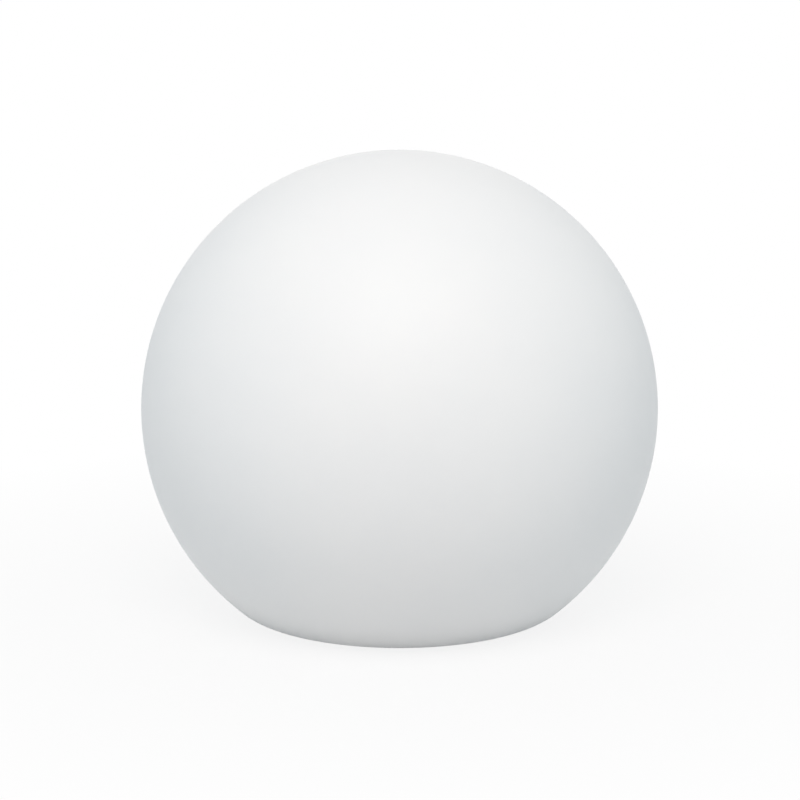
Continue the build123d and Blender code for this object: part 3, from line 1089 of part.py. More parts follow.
with BuildPart() as battery_lead_positive:
    add(lead(battery_route(-1)))
with BuildPart() as battery_lead_negative:
    add(lead(battery_route(1)))
with BuildPart() as led_lead_positive:
    add(lead(led_route(-1)))
with BuildPart() as led_lead_negative:
    add(lead(led_route(1)))

# ---------------------------------------------------------------- write the parts
PIECES = {
    "globe_shell": globe_shell,
    "threaded_inserts": threaded_inserts,
    "neck_ring": neck_ring,
    "neck_ring_screws": neck_ring_screws,
    "base_housing": base_housing,
    "seat_gasket": seat_gasket,
    "spring_clips": spring_clips,
    "clip_screws": clip_screws,
    "base_cover": base_cover,
    "cover_seal": cover_seal,
    "cover_screws": cover_screws,
    "rubber_feet": rubber_feet,
    "power_button": power_button,
    "button_seal": button_seal,
    "switch_body": switch_body,
    "switch_plunger": switch_plunger,
    "charge_socket": charge_socket,
    "socket_tongue": socket_tongue,
    "port_cover": port_cover,
    "port_cover_anchor": port_cover_anchor,
    "light_pipe": light_pipe,
    "indicator_led": indicator_led,
    "breather_vent": breather_vent,
    "control_board": control_board,
    "control_board_screws": control_board_screws,
    "driver_chips": driver_chips,
    "power_inductor": power_inductor,
    "capacitors": capacitors,
    "board_headers": board_headers,
    "lead_plugs": lead_plugs,
    "battery_cells": battery_cells,
    "cell_terminals": cell_terminals,
    "nickel_strips": nickel_strips,
    "battery_cradle": battery_cradle,
    "battery_clamp": battery_clamp,
    "clamp_screws": clamp_screws,
    "cradle_screws": cradle_screws,
    "heat_plate": heat_plate,
    "led_board": led_board,
    "led_board_screws": led_board_screws,
    "led_packages": led_packages,
    "led_emitters": led_emitters,
    "lens_dome": lens_dome,
    "dome_seal": dome_seal,
    "dome_ring": dome_ring,
    "dome_ring_screws": dome_ring_screws,
    "battery_lead_positive": battery_lead_positive,
    "battery_lead_negative": battery_lead_negative,
    "led_lead_positive": led_lead_positive,
    "led_lead_negative": led_lead_negative,
}

os.makedirs("parts", exist_ok=True)
for name, piece in PIECES.items():
    piece.part.label = name
    export_step(piece.part, f"parts/{name}.step")
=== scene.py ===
"""Looks of the garden globe light: a satin white globe that lifts off a rechargeable lamp base.

Metres, +Z up, front towards -Y, origin on the ground on the globe's axis.
"""

import json
import logging
import math
from collections.abc import Callable, Iterator, Mapping, Sequence
from contextlib import contextmanager
from dataclasses import dataclass, field
from enum import Enum
from functools import cache

import bmesh
import bpy
from mathutils import Matrix, Vector


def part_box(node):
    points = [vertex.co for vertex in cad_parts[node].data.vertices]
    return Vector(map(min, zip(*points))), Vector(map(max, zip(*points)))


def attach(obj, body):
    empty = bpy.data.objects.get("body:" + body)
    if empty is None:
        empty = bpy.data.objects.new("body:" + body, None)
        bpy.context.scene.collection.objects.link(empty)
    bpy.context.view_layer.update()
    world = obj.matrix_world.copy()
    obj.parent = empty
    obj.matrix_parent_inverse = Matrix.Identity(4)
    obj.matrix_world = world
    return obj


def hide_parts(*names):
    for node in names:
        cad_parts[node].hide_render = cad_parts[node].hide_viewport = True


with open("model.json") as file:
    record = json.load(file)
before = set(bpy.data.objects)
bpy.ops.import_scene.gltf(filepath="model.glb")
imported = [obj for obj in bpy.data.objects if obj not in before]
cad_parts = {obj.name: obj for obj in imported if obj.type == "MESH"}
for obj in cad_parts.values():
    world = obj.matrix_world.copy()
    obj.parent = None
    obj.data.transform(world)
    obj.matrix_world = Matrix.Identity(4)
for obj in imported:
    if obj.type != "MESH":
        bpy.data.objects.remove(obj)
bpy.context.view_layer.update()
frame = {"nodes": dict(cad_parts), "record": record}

logging.basicConfig(level=logging.INFO, format="%(name)s: %(message)s")
LOG = logging.getLogger("globe_light")

Colour = tuple[float, float, float]
Point = tuple[float, float]
Corner = tuple[float, float, float]
Mesh = bpy.types.Mesh
Piece = bpy.types.Object
Material = bpy.types.Material

MM = 0.001
SMOOTH_LIMIT = math.radians(32)
FLAT_LIMIT = math.radians(0.3)
MERGE_DISTANCE = 1e-6
BEVEL_STEPS = 2
SLOT_OF = {part["node"]: part["material_slot"] for part in frame["record"]["subparts"]}
BODY_OF = {node: body for body, nodes in frame["record"]["behaviour"]["bodies"].items() for node in nodes}


# ---------------------------------------------------------------- node trees
def joined(operation: str, swapped: bool = False) -> Callable:
    """Gives a method that joins two values in one Math node, in their order or swapped."""
    return lambda first, second: first.math(operation, *((second, first) if swapped else (first, second)))


class Expr:
    """One output of a node, which adds Math nodes when it is used in a sum."""

    __add__, __radd__ = joined("ADD"), joined("ADD", True)
    __sub__, __rsub__ = joined("SUBTRACT"), joined("SUBTRACT", True)
    __mul__, __rmul__ = joined("MULTIPLY"), joined("MULTIPLY", True)
    __truediv__, __rtruediv__ = joined("DIVIDE"), joined("DIVIDE", True)
    __mod__ = joined("FLOORED_MODULO")

    def __init__(self, canvas: "Canvas", node: bpy.types.Node, output: int | str = 0) -> None:
        """Keeps the tree, the node, and the name or number of its output."""
        self.canvas, self.node, self.output = canvas, node, output

    @property
    def socket(self) -> bpy.types.NodeSocket:
        """The output's socket."""
        return self.node.outputs[self.output]

    def out(self, output: int | str) -> "Expr":
        """Gives another output of the same node."""
        return Expr(self.canvas, self.node, output)

    def math(self, operation: str, *values: "Expr | float") -> "Expr":
        """Adds a Math node whose sockets take the values in order."""
        return self.canvas.node("ShaderNodeMath", {"operation": operation}, dict(enumerate(values)))

    def floor(self) -> "Expr":
        """Rounds down."""
        return self.math("FLOOR", self)

    def cos(self) -> "Expr":
        """Gives the cosine."""
        return self.math("COSINE", self)

    def sin(self) -> "Expr":
        """Gives the sine."""
        return self.math("SINE", self)

    def root(self) -> "Expr":
        """Gives the square root."""
        return self.math("SQRT", self)

    def size(self) -> "Expr":
        """Gives the value without its sign."""
        return self.math("ABSOLUTE", self)

    def clamped(self) -> "Expr":
        """Holds the value between 0 and 1."""
        return self.math("MINIMUM", self.math("MAXIMUM", self, 0.0), 1.0)

    def below(self, limit: float) -> "Expr":
        """Gives 1 where the value is under the limit, and 0 elsewhere."""
        return self.math("LESS_THAN", self, limit)


class Canvas:
    """A node tree, and the one method that adds nodes to it."""

    def __init__(self, tree: bpy.types.NodeTree) -> None:
        """Takes the tree to draw in."""
        self.tree = tree

    def node(self, kind: str, settings: Mapping | None = None, sockets: Mapping | None = None) -> Expr:
        """Adds a node, makes its settings, then fills its sockets.

        Args:
            kind: the node's type.
            settings: its properties, which are set first.
            sockets: a value, a link or a list of links, by the socket's name or number.

        Returns:
            The node's first output.
        """
        node = self.tree.nodes.new(kind)
        for name, setting in (settings or {}).items():
            setattr(node, name, setting)
        for key, contents in (sockets or {}).items():
            for content in contents if isinstance(contents, list) else [contents]:
                if isinstance(content, Expr):
                    self.tree.links.new(content.socket, node.inputs[key])
                else:
                    node.inputs[key].default_value = content
        return Expr(self, node)

    def vector(self, *parts: Expr | float) -> Expr:
        """Puts three numbers together as a vector."""
        return self.node("ShaderNodeCombineXYZ", None, dict(enumerate(parts)))

    def parts(self, vector: Expr) -> list[Expr]:
        """Takes a vector apart into three numbers."""
        node = self.node("ShaderNodeSeparateXYZ", None, {0: vector})
        return [node.out(k) for k in range(3)]


class GeometryTree(Canvas):
    """A Geometry Nodes tree with named inputs, which is run on a mesh and then taken off it."""

    def __init__(self, name: str, **inputs: str) -> None:
        """Starts a tree with geometry in and out, its named inputs and a material input.

        Args:
            name: the tree's name.
            inputs: for each kind of input, such as Int, the names of the inputs, with spaces between them.
        """
        tree = bpy.data.node_groups.new(name, "GeometryNodeTree")
        tree.is_modifier = True
        super().__init__(tree)
        self.identifiers: dict[str, str] = {}
        for kind, names in {"Geometry": "Geometry", **inputs, "Material": "material"}.items():
            for key in names.split():
                item = tree.interface.new_socket(name=key, in_out="INPUT", socket_type=f"NodeSocket{kind}")
                self.identifiers[key] = item.identifier
        tree.interface.new_socket(name="Geometry", in_out="OUTPUT", socket_type="NodeSocketGeometry")
        self.entry = self.node("NodeGroupInput")

    def __getitem__(self, name: str) -> Expr:
        """Gives an input's value."""
        return self.entry.out(name)

    def turned(self) -> Expr:
        """Turns the incoming section round the axis, by the inputs segments, teeth and tooth_depth.

        Returns:
            The closed surface.
        """
        section, segments = self["Geometry"], self["segments"]
        size = self.node("GeometryNodeAttributeDomainSize", {"component": "MESH"}, {"Geometry": section})
        rows = size.out("Point Count")
        grid = self.node("GeometryNodeMeshGrid", None, {"Vertices X": segments + 1.0, "Vertices Y": rows})
        index = self.node("GeometryNodeInputIndex")
        column = ((index + 0.5) / rows).floor()
        row = index - column * rows

        def sampled(values: Expr, kind: str) -> Expr:
            """Reads a field of the section at the present row."""
            sockets = {"Geometry": section, "Value": values, "Index": row}
            return self.node("GeometryNodeSampleIndex", {"data_type": kind}, sockets)

        def named(name: str) -> Expr:
            """Reads a named attribute of the section at the present row."""
            values = self.node("GeometryNodeInputNamedAttribute", {"data_type": "FLOAT"}, {"Name": name})
            return sampled(values, "FLOAT")

        radius, _, height = self.parts(sampled(self.node("GeometryNodeInputPosition"), "FLOAT_VECTOR"))
        turn = column * math.tau / segments
        sixth = math.tau / 6
        across = math.cos(sixth / 2) / (turn % sixth - sixth / 2).cos()
        radius = radius * (1.0 + named("flats") * (across - 1.0))
        tooth = ((turn * self["teeth"] / math.tau) % 1.0 - 0.5).size() * 2.0
        radius = radius - named("teeth") * tooth * self["tooth_depth"]
        spot = self.vector(radius * turn.cos(), radius * turn.sin(), height)
        placed = self.node("GeometryNodeSetPosition", None, {"Geometry": grid, "Position": spot})
        sockets = {"Geometry": placed, "Distance": MERGE_DISTANCE}
        return self.node("GeometryNodeMergeByDistance", None, sockets)

    def ring(self, piece: Expr, radius: Expr, height: Expr, start: Expr | float, tilt: Expr | float) -> Expr:
        """Sets a piece round the axis, as often as the input count says.

        Args:
            piece: the geometry to repeat.
            radius: how far from the axis each stands.
            height: how high.
            start: the first one's angle, in radians.
            tilt: how far each leans out from upright, in radians.

        Returns:
            The instances.
        """
        turn = self.node("GeometryNodeInputIndex") * math.tau / self["count"] + start
        spot = self.vector(turn.cos() * radius, turn.sin() * radius, height)
        points = self.node("GeometryNodePoints", None, {"Count": self["count"], "Position": spot})
        lean = self.node("FunctionNodeEulerToRotation", None, {0: self.vector(0.0, tilt, turn)})
        sockets = {"Points": points, "Instance": piece, "Rotation": lean}
        return self.node("GeometryNodeInstanceOnPoints", None, sockets)

    def close(self, geometry: Expr) -> "GeometryTree":
        """Ends the tree with real geometry that wears the material input.

        Args:
            geometry: what the tree has made.

        Returns:
            The tree itself.
        """
        real = self.node("GeometryNodeRealizeInstances", None, {"Geometry": geometry})
        dressed = self.node("GeometryNodeSetMaterial", None, {"Geometry": real, "Material": self["material"]})
        self.node("NodeGroupOutput", None, {0: dressed})
        return self

    def run(self, mesh: Mesh, inputs: Mapping) -> Piece:
        """Runs the tree on a mesh and keeps the result as a plain mesh.

        Args:
            mesh: what the tree starts from.
            inputs: the named inputs' values.

        Returns:
            The finished piece, with no modifier left on it.
        """
        piece = place("piece", mesh)
        modifier = piece.modifiers.new(self.tree.name, "NODES")
        modifier.node_group = self.tree
        for key, content in inputs.items():
            modifier[self.identifiers[key]] = content
        keep_result(piece, modifier)
        wear(piece.data, inputs["material"])
        finish_mesh(piece.data)
        return piece


# ---------------------------------------------------------------- meshes
def place(name: str, data: bpy.types.ID) -> Piece:
    """Makes an object of some data and puts it in the scene.

    Args:
        name: the object's name.
        data: its mesh, camera or light.

    Returns:
        The object.
    """
    thing = bpy.data.objects.new(name, data)
    bpy.context.scene.collection.objects.link(thing)
    return thing


def discard(piece: Piece) -> None:
    """Removes a piece that has been copied."""
    bpy.data.objects.remove(piece, do_unlink=True)


def wear(mesh: Mesh, material: Material) -> None:
    """Gives a mesh one material on all its faces.

    Args:
        mesh: the mesh.
        material: the material.
    """
    mesh.materials.clear()
    mesh.materials.append(material)
    mesh.polygons.foreach_set("material_index", [0] * len(mesh.polygons))


def keep_result(piece: Piece, modifier: bpy.types.Modifier) -> None:
    """Keeps what a modifier makes as the piece's plain mesh, and takes the modifier off.

    Args:
        piece: the piece.
        modifier: its only modifier.
    """
    depsgraph = bpy.context.evaluated_depsgraph_get()
    mesh = bpy.data.meshes.new_from_object(piece.evaluated_get(depsgraph), depsgraph=depsgraph)
    piece.modifiers.remove(modifier)
    piece.data = mesh


@contextmanager
def opened(mesh: Mesh) -> Iterator[bmesh.types.BMesh]:
    """Opens a mesh for work, and writes the work back at the end.

    Args:
        mesh: the mesh.

    Yields:
        The open mesh.
    """
    work = bmesh.new()
    work.from_mesh(mesh)
    yield work
    work.to_mesh(mesh)
    work.free()


def shade(mesh: Mesh) -> None:
    """Shades a mesh smooth between its sharp edges."""
    mesh.shade_smooth()
    mesh.set_sharp_from_angle(angle=SMOOTH_LIMIT)


def finish_mesh(mesh: Mesh) -> None:
    """Turns a closed mesh's faces outwards and shades it.

    Args:
        mesh: the closed mesh.
    """
    with opened(mesh) as work:
        if work.calc_volume(signed=True) < 0:
            bmesh.ops.reverse_faces(work, faces=work.faces)
    shade(mesh)


def arc(centre: Point, radius: float, start: float, end: float, step: float = 6.0) -> list[Point]:
    """Points along an arc, both ends included.

    Args:
        centre: the arc's centre.
        radius: its radius.
        start: the first point's angle in degrees.
        end: the last point's angle.
        step: the largest turn from one point to the next.

    Returns:
        The points.
    """
    count = max(1, math.ceil(abs(end - start) / step))
    turns = [math.radians(start + (end - start) * k / count) for k in range(count + 1)]
    return [(centre[0] + radius * math.cos(t), centre[1] + radius * math.sin(t)) for t in turns]


def rounded(corners: Sequence[Corner], closed: bool = False, step: float = 15.0) -> list[Point]:
    """Points along straight runs whose corners are rounded.

    Args:
        corners: each corner's radius from the axis, its height and its own rounding.
        closed: whether the last corner runs back to the first.
        step: the largest turn from one point to the next, in degrees.

    Returns:
        The points, with the first repeated at the end of a closed path.
    """
    path: list[Point] = []
    last = len(corners) - 1
    for k, (x, z, rounding) in enumerate(corners):
        here = Vector((x, z))
        if rounding == 0 or (not closed and k in (0, last)):
            path.append((x, z))
            continue
        back = (Vector(corners[k - 1][:2]) - here).normalized()
        ahead = (Vector(corners[(k + 1) % len(corners)][:2]) - here).normalized()
        half = back.angle(ahead) / 2
        centre = here + (back + ahead).normalized() * rounding / math.sin(half)
        first = here + back * rounding / math.tan(half) - centre
        side = 1 if back.x * ahead.y - back.y * ahead.x < 0 else -1
        start = math.degrees(math.atan2(first.y, first.x))
        sweep = side * (180 - 2 * math.degrees(half))
        path += arc((centre.x, centre.y), rounding, start, start + sweep, step)
    return path + path[:1] if closed else path


@dataclass
class Section:
    """Half of a turned piece's section, as points of radius and height, and how it is turned."""

    segments: int
    tooth_count: int = 0
    tooth_depth: float = 0.0
    points: list[Point] = field(default_factory=list)
    flats: list[float] = field(default_factory=list)
    teeth: list[float] = field(default_factory=list)

    def add(self, points: Sequence[Point], flats: float = 0.0, teeth: float = 0.0) -> "Section":
        """Goes on along some points.

        Args:
            points: the next points.
            flats: 1 where the piece is six-sided there, 0 where it is round.
            teeth: 1 where teeth are cut there, 0 where it is plain.

        Returns:
            The section itself.
        """
        self.points += points
        self.flats += [flats] * len(points)
        self.teeth += [teeth] * len(points)
        return self

    def mesh(self) -> Mesh:
        """Gives the section as loose vertices that carry their flats and teeth.

        Returns:
            The mesh.
        """
        mesh = bpy.data.meshes.new("section")
        mesh.from_pydata([(x, 0.0, z) for x, z in self.points], [], [])
        for name, values in (("flats", self.flats), ("teeth", self.teeth)):
            mesh.attributes.new(name, "FLOAT", "POINT").data.foreach_set("value", values)
        return mesh

    def inputs(self) -> dict[str, float]:
        """Gives what a tree that turns the section needs to know."""
        return {"segments": self.segments, "teeth": self.tooth_count, "tooth_depth": self.tooth_depth}


def stack(layers: Sequence[tuple[float, float, float, float]], per_corner: int = 5) -> Piece:
    """Lofts a closed block through rounded rectangles.

    Args:
        layers: each rectangle's length, width, corner radius and height, from first cap to last.
        per_corner: points on each rounded corner.

    Returns:
        The block.
    """
    mesh = bpy.data.meshes.new("block")
    with opened(mesh) as work:
        rings = []
        for length, width, corner, z in layers:
            ring = []
            for quarter, (sx, sy) in enumerate(((1, 1), (-1, 1), (-1, -1), (1, -1))):
                centre = (sx * (length / 2 - corner), sy * (width / 2 - corner))
                turns = arc(centre, corner, 90 * quarter, 90 * quarter + 90, 90 / (per_corner - 1))
                ring += [work.verts.new((x, y, z)) for x, y in turns]
            rings.append(ring)
        for low, high in zip(rings, rings[1:]):
            for k in range(len(low)):
                n = (k + 1) % len(low)
                work.faces.new((low[k], low[n], high[n], high[k]))
        work.faces.new(reversed(rings[0]))
        work.faces.new(rings[-1])
    finish_mesh(mesh)
    return place("block", mesh)


# ---------------------------------------------------------------- finishes
@dataclass(frozen=True)
class Noise:
    """Soft noise: the width of a blotch, its finer octaves, and how much closer it lies along each axis."""

    size: float
    detail: float
    stretch: Colour = (1.0, 1.0, 1.0)


class Surface(Canvas):
    """A material's node tree, with the coordinates and textures that the finishes share."""

    def __init__(self, name: str) -> None:
        """Starts a material.

        Args:
            name: the material's name.
        """
        self.material = bpy.data.materials.new(name)
        self.material.use_nodes = True
        super().__init__(self.material.node_tree)
        self.tree.nodes.clear()
        self.place = self.node("ShaderNodeTexCoord").out("Object")

    def noise(self, noise: Noise) -> Expr:
        """Gives soft noise, spread over 0 to 1.

        Args:
            noise: how the noise looks.

        Returns:
            The noise.
        """
        factors = {0: self.place, 1: noise.stretch}
        spread = self.node("ShaderNodeVectorMath", {"operation": "MULTIPLY"}, factors)
        sockets = {"Vector": spread, "Scale": 1 / noise.size, "Detail": noise.detail, "Roughness": 0.5}
        raw = self.node("ShaderNodeTexNoise", None, sockets).out("Fac")
        low, width = 0.28, 0.44
        return ((raw - low) / width).clamped()

    def specks(self, spacing: float, share: float) -> Expr:
        """Gives 1 at scattered specks, whose width is a share of their spacing, and 0 between them."""
        cells = self.node("ShaderNodeTexVoronoi", None, {"Vector": self.place, "Scale": 1 / spacing})
        return cells.out("Distance").below(share)

    def tint(self, factor: Expr, first: Expr | Colour, second: Colour) -> Expr:
        """Mixes two colours.

        Args:
            factor: 0 for the first, 1 for the second.
            first: a colour.
            second: another.

        Returns:
            The mixed colour.
        """
        start = first if isinstance(first, Expr) else (*first, 1.0)
        sockets = {"Factor": factor, 6: start, 7: (*second, 1.0)}
        return self.node("ShaderNodeMix", {"data_type": "RGBA"}, sockets).out(2)

    def relief(self, height: Expr, depth: float, under: Expr | None = None) -> Expr:
        """Gives a normal for a height that runs from 0 to 1.

        Args:
            height: the height.
            depth: how much 1 is, in metres.
            under: a normal that this relief lies on.

        Returns:
            The normal.
        """
        sockets = {"Strength": 1.0, "Distance": depth, "Height": height}
        if under is not None:
            sockets["Normal"] = under
        return self.node("ShaderNodeBump", None, sockets)

    def close(self, shader: Expr) -> Material:
        """Ends the material in a shader, and gives it."""
        self.node("ShaderNodeOutputMaterial", None, {"Surface": shader})
        return self.material


@dataclass(frozen=True)
class Finish:
    """Two tones mixed by noise, an uneven gloss, a fine skin and perhaps specks.

    Each entry of gloss names a noise, its middle and how much it changes the roughness. Specks have a
    spacing, a width as a share of that, and a strength. The shader holds the values of further sockets.
    """

    colour: Colour
    shade: Colour
    roughness: float
    tone: Noise
    skin: Noise
    depth: float
    gloss: tuple[tuple[str, float, float], ...]
    specks: tuple[float, float, float] | None = None
    shader: tuple[tuple[str, float], ...] = ()

    def make(self, name: str) -> Material:
        """Makes the material.

        Args:
            name: the material's name.

        Returns:
            The material.
        """
        surface = Surface(name)
        noises = {key: surface.noise(noise) for key, noise in vars(self).items() if isinstance(noise, Noise)}
        colour = surface.tint(noises["tone"], self.colour, self.shade)
        if self.specks:
            spacing, share, strength = self.specks
            colour = surface.tint(surface.specks(spacing, share) * strength, colour, self.speck_colour())
        roughness: Expr | float = self.roughness
        for key, middle, change in self.gloss:
            roughness = roughness + (noises[key] - middle if middle else noises[key]) * change
        normal = self.normal(surface, noises)
        sockets = {"Base Color": colour, "Roughness": roughness, "Normal": normal, **dict(self.shader)}
        return surface.close(surface.node("ShaderNodeBsdfPrincipled", None, sockets))

    def speck_colour(self) -> Colour:
        """Gives the specks' colour."""
        # the darker tone: on moulded plastic these specks are painted shade for small pits
        return self.shade

    def normal(self, surface: Surface, noises: Mapping[str, Expr]) -> Expr:
        """Gives the skin's relief."""
        return surface.relief(noises["skin"], self.depth)


@dataclass(frozen=True)
class GlobeSkin(Finish):
    """Satin rotation-moulded polyethylene: cloudy tone, uneven gloss, and fine grain over orange peel."""

    tone: Noise = Noise(70 * MM, 3.0)
    skin: Noise = Noise(0.35 * MM, 2.0)
    depth: float = 0.003 * MM
    peel: Noise = Noise(2.4 * MM, 1.0)
    peel_depth: float = 0.010 * MM
    patches: Noise = Noise(9 * MM, 4.0)
    gloss: tuple[tuple[str, float, float], ...] = (("patches", 0.5, 0.10),)
    shader: tuple[tuple[str, float], ...] = (("Specular IOR Level", 0.18),)

    def normal(self, surface: Surface, noises: Mapping[str, Expr]) -> Expr:
        """Gives the grain's relief over the orange peel's."""
        return surface.relief(noises["skin"], self.depth, surface.relief(noises["peel"], self.peel_depth))


@dataclass(frozen=True)
class MouldedPlastic(Finish):
    """Injection-moulded plastic with a spark-eroded grain, specks of painted shade that stand for small pits,
    and faint rubbed marks.
    """

    tone: Noise = Noise(18 * MM, 3.0)
    skin: Noise = Noise(0.55 * MM, 3.0)
    depth: float = 0.035 * MM
    rubs: Noise = Noise(6 * MM, 5.0, (1.0, 1.0, 5.0))
    gloss: tuple[tuple[str, float, float], ...] = (("skin", 0.5, 0.12), ("rubs", 0.0, -0.12))
    # specks tinted towards the darker tone, with no relief: painted shade standing in for small pits
    specks: tuple[float, float, float] = (2.6 * MM, 0.055, 0.4)
    shader: tuple[tuple[str, float], ...] = (("Specular IOR Level", 0.5),)


@dataclass(frozen=True)
class Metal(Finish):
    """Bare metal with drawn or turned marks along one direction, and cloudy oxide."""

    tone: Noise = Noise(5 * MM, 3.0)
    skin: Noise = Noise(1.2 * MM, 4.0, (1.0, 1.0, 12.0))
    depth: float = 0.006 * MM
    gloss: tuple[tuple[str, float, float], ...] = (("skin", 0.5, 0.14), ("tone", 0.0, 0.08))
    shader: tuple[tuple[str, float], ...] = (("Metallic", 1.0),)


@dataclass(frozen=True)
class Rubber(Finish):
    """Silicone or rubber, dull, with a fine skin and a little dust on it."""

    tone: Noise = Noise(8 * MM, 4.0)
    skin: Noise = Noise(0.3 * MM, 2.0)
    depth: float = 0.012 * MM
    gloss: tuple[tuple[str, float, float], ...] = (("tone", 0.5, 0.16),)
    specks: tuple[float, float, float] = (1.7 * MM, 0.09, 0.35)
    shader: tuple[tuple[str, float], ...] = (("Specular IOR Level", 0.35),)
    dust: float = 0.25

    def speck_colour(self) -> Colour:
        """Gives the colour of the dust, which is paler than the rubber by its amount."""
        return tuple(min(1.0, part + self.dust) for part in self.colour)


@dataclass(frozen=True)
class Grains(Finish):
    """A granular fill, such as phosphor in clear resin or pressed ferrite, under a thin coat."""

    tone: Noise = Noise(0.12 * MM, 3.0)
    skin: Noise = Noise(0.12 * MM, 3.0)
    depth: float = 0.01 * MM
    gloss: tuple[tuple[str, float, float], ...] = (("skin", 0.0, 0.15),)
    shader: tuple[tuple[str, float], ...] = (("Coat Weight", 0.4),)


@dataclass(frozen=True)
class ShrinkSleeve(Finish):
    """Shiny heat-shrunk film with fine creases across the cell's length."""

    tone: Noise = Noise(14 * MM, 2.0)
    skin: Noise = Noise(1.6 * MM, 3.0, (1.0, 0.15, 1.0))
    depth: float = 0.035 * MM
    gloss: tuple[tuple[str, float, float], ...] = (("skin", 0.0, 0.12),)
    shader: tuple[tuple[str, float], ...] = (("Coat Weight", 0.5),)


@dataclass(frozen=True)
class OpalPlastic(Finish):
    """Milky diffuser plastic with faint flow marks, and light soaking a little way in."""

    tone: Noise = Noise(11 * MM, 4.0)
    skin: Noise = Noise(11 * MM, 4.0)
    depth: float = 0.02 * MM
    gloss: tuple[tuple[str, float, float], ...] = (("tone", 0.0, 0.08),)
    shader: tuple[tuple[str, float], ...] = (("Subsurface Weight", 0.25), ("Subsurface Scale", 3 * MM))


@dataclass(frozen=True)
class ClearPlastic(Finish):
    """Clear moulded rod, with a haze that varies."""

    tone: Noise = Noise(1.5 * MM, 3.0)
    skin: Noise = Noise(1.5 * MM, 3.0)
    depth: float = 0.01 * MM
    gloss: tuple[tuple[str, float, float], ...] = (("tone", 0.0, 0.15),)
    shader: tuple[tuple[str, float], ...] = (("Transmission Weight", 0.85), ("IOR", 1.49))


@dataclass(frozen=True)
class CircuitMask:
    """Solder mask over straight copper tracks that run both ways, with vias."""

    colour: Colour
    shade: Colour
    roughness: float
    track: Colour
    pitch: float = 2.4 * MM
    width: float = 0.10
    via: Colour = (0.72, 0.60, 0.36)

    def tracks(self, surface: Surface, pitch: float, turn: float) -> Expr:
        """Gives 1 on broken parallel tracks and 0 between them.

        Args:
            surface: the material's tree.
            pitch: how far apart the tracks lie, in metres.
            turn: the tracks' direction, in degrees.

        Returns:
            The mask.
        """
        rotation = (0.0, 0.0, math.radians(turn))
        turned = surface.node("ShaderNodeMapping", None, {"Vector": surface.place, "Rotation": rotation})
        settings = {"offset": 0.37, "squash": 0.6, "squash_frequency": 3}
        sockets = {"Vector": turned, "Scale": 1.0, "Mortar Size": self.width * pitch}
        sockets |= {"Brick Width": pitch * 5.3, "Row Height": pitch}
        return surface.node("ShaderNodeTexBrick", settings, sockets).out("Fac")

    def make(self, name: str) -> Material:
        """Makes the material.

        Args:
            name: the material's name.

        Returns:
            The material.
        """
        surface = Surface(name)
        tracks = (self.tracks(surface, self.pitch, 0) + self.tracks(surface, self.pitch * 1.7, 90)).clamped()
        vias = surface.specks(3.4 * MM, 0.12)
        cloud = surface.noise(Noise(12 * MM, 3.0))
        traced = surface.tint(tracks, surface.tint(cloud, self.colour, self.shade), self.track)
        sockets = {
            "Base Color": surface.tint(vias * 0.8, traced, self.via),
            "Roughness": self.roughness + cloud * 0.10,
            "Normal": surface.relief(vias, 0.02 * MM, surface.relief(tracks, 0.03 * MM)),
            "Coat Weight": 0.3,
        }
        return surface.close(surface.node("ShaderNodeBsdfPrincipled", None, sockets))


@dataclass(frozen=True)
class LedMask:
    """White solder mask with a yellowed bloom, raised over two copper rings."""

    colour: Colour
    shade: Colour
    roughness: float
    rings: Point = (30 * MM, 13 * MM)
    ring_width: float = 2.6 * MM

    def make(self, name: str) -> Material:
        """Makes the material.

        Args:
            name: the material's name.

        Returns:
            The material.
        """
        surface = Surface(name)
        x, y, _ = surface.parts(surface.place)
        radius = (x * x + y * y).root()
        outer, inner = ((radius - ring).size().below(self.ring_width / 2) for ring in self.rings)
        copper = outer + inner
        bloom = surface.noise(Noise(6 * MM, 4.0))
        plain = surface.tint(bloom, self.colour, self.shade)
        sockets = {
            "Base Color": surface.tint(copper * 0.5, plain, self.shade),
            "Roughness": self.roughness + bloom * 0.12,
            "Normal": surface.relief(copper, 0.035 * MM),
        }
        return surface.close(surface.node("ShaderNodeBsdfPrincipled", None, sockets))


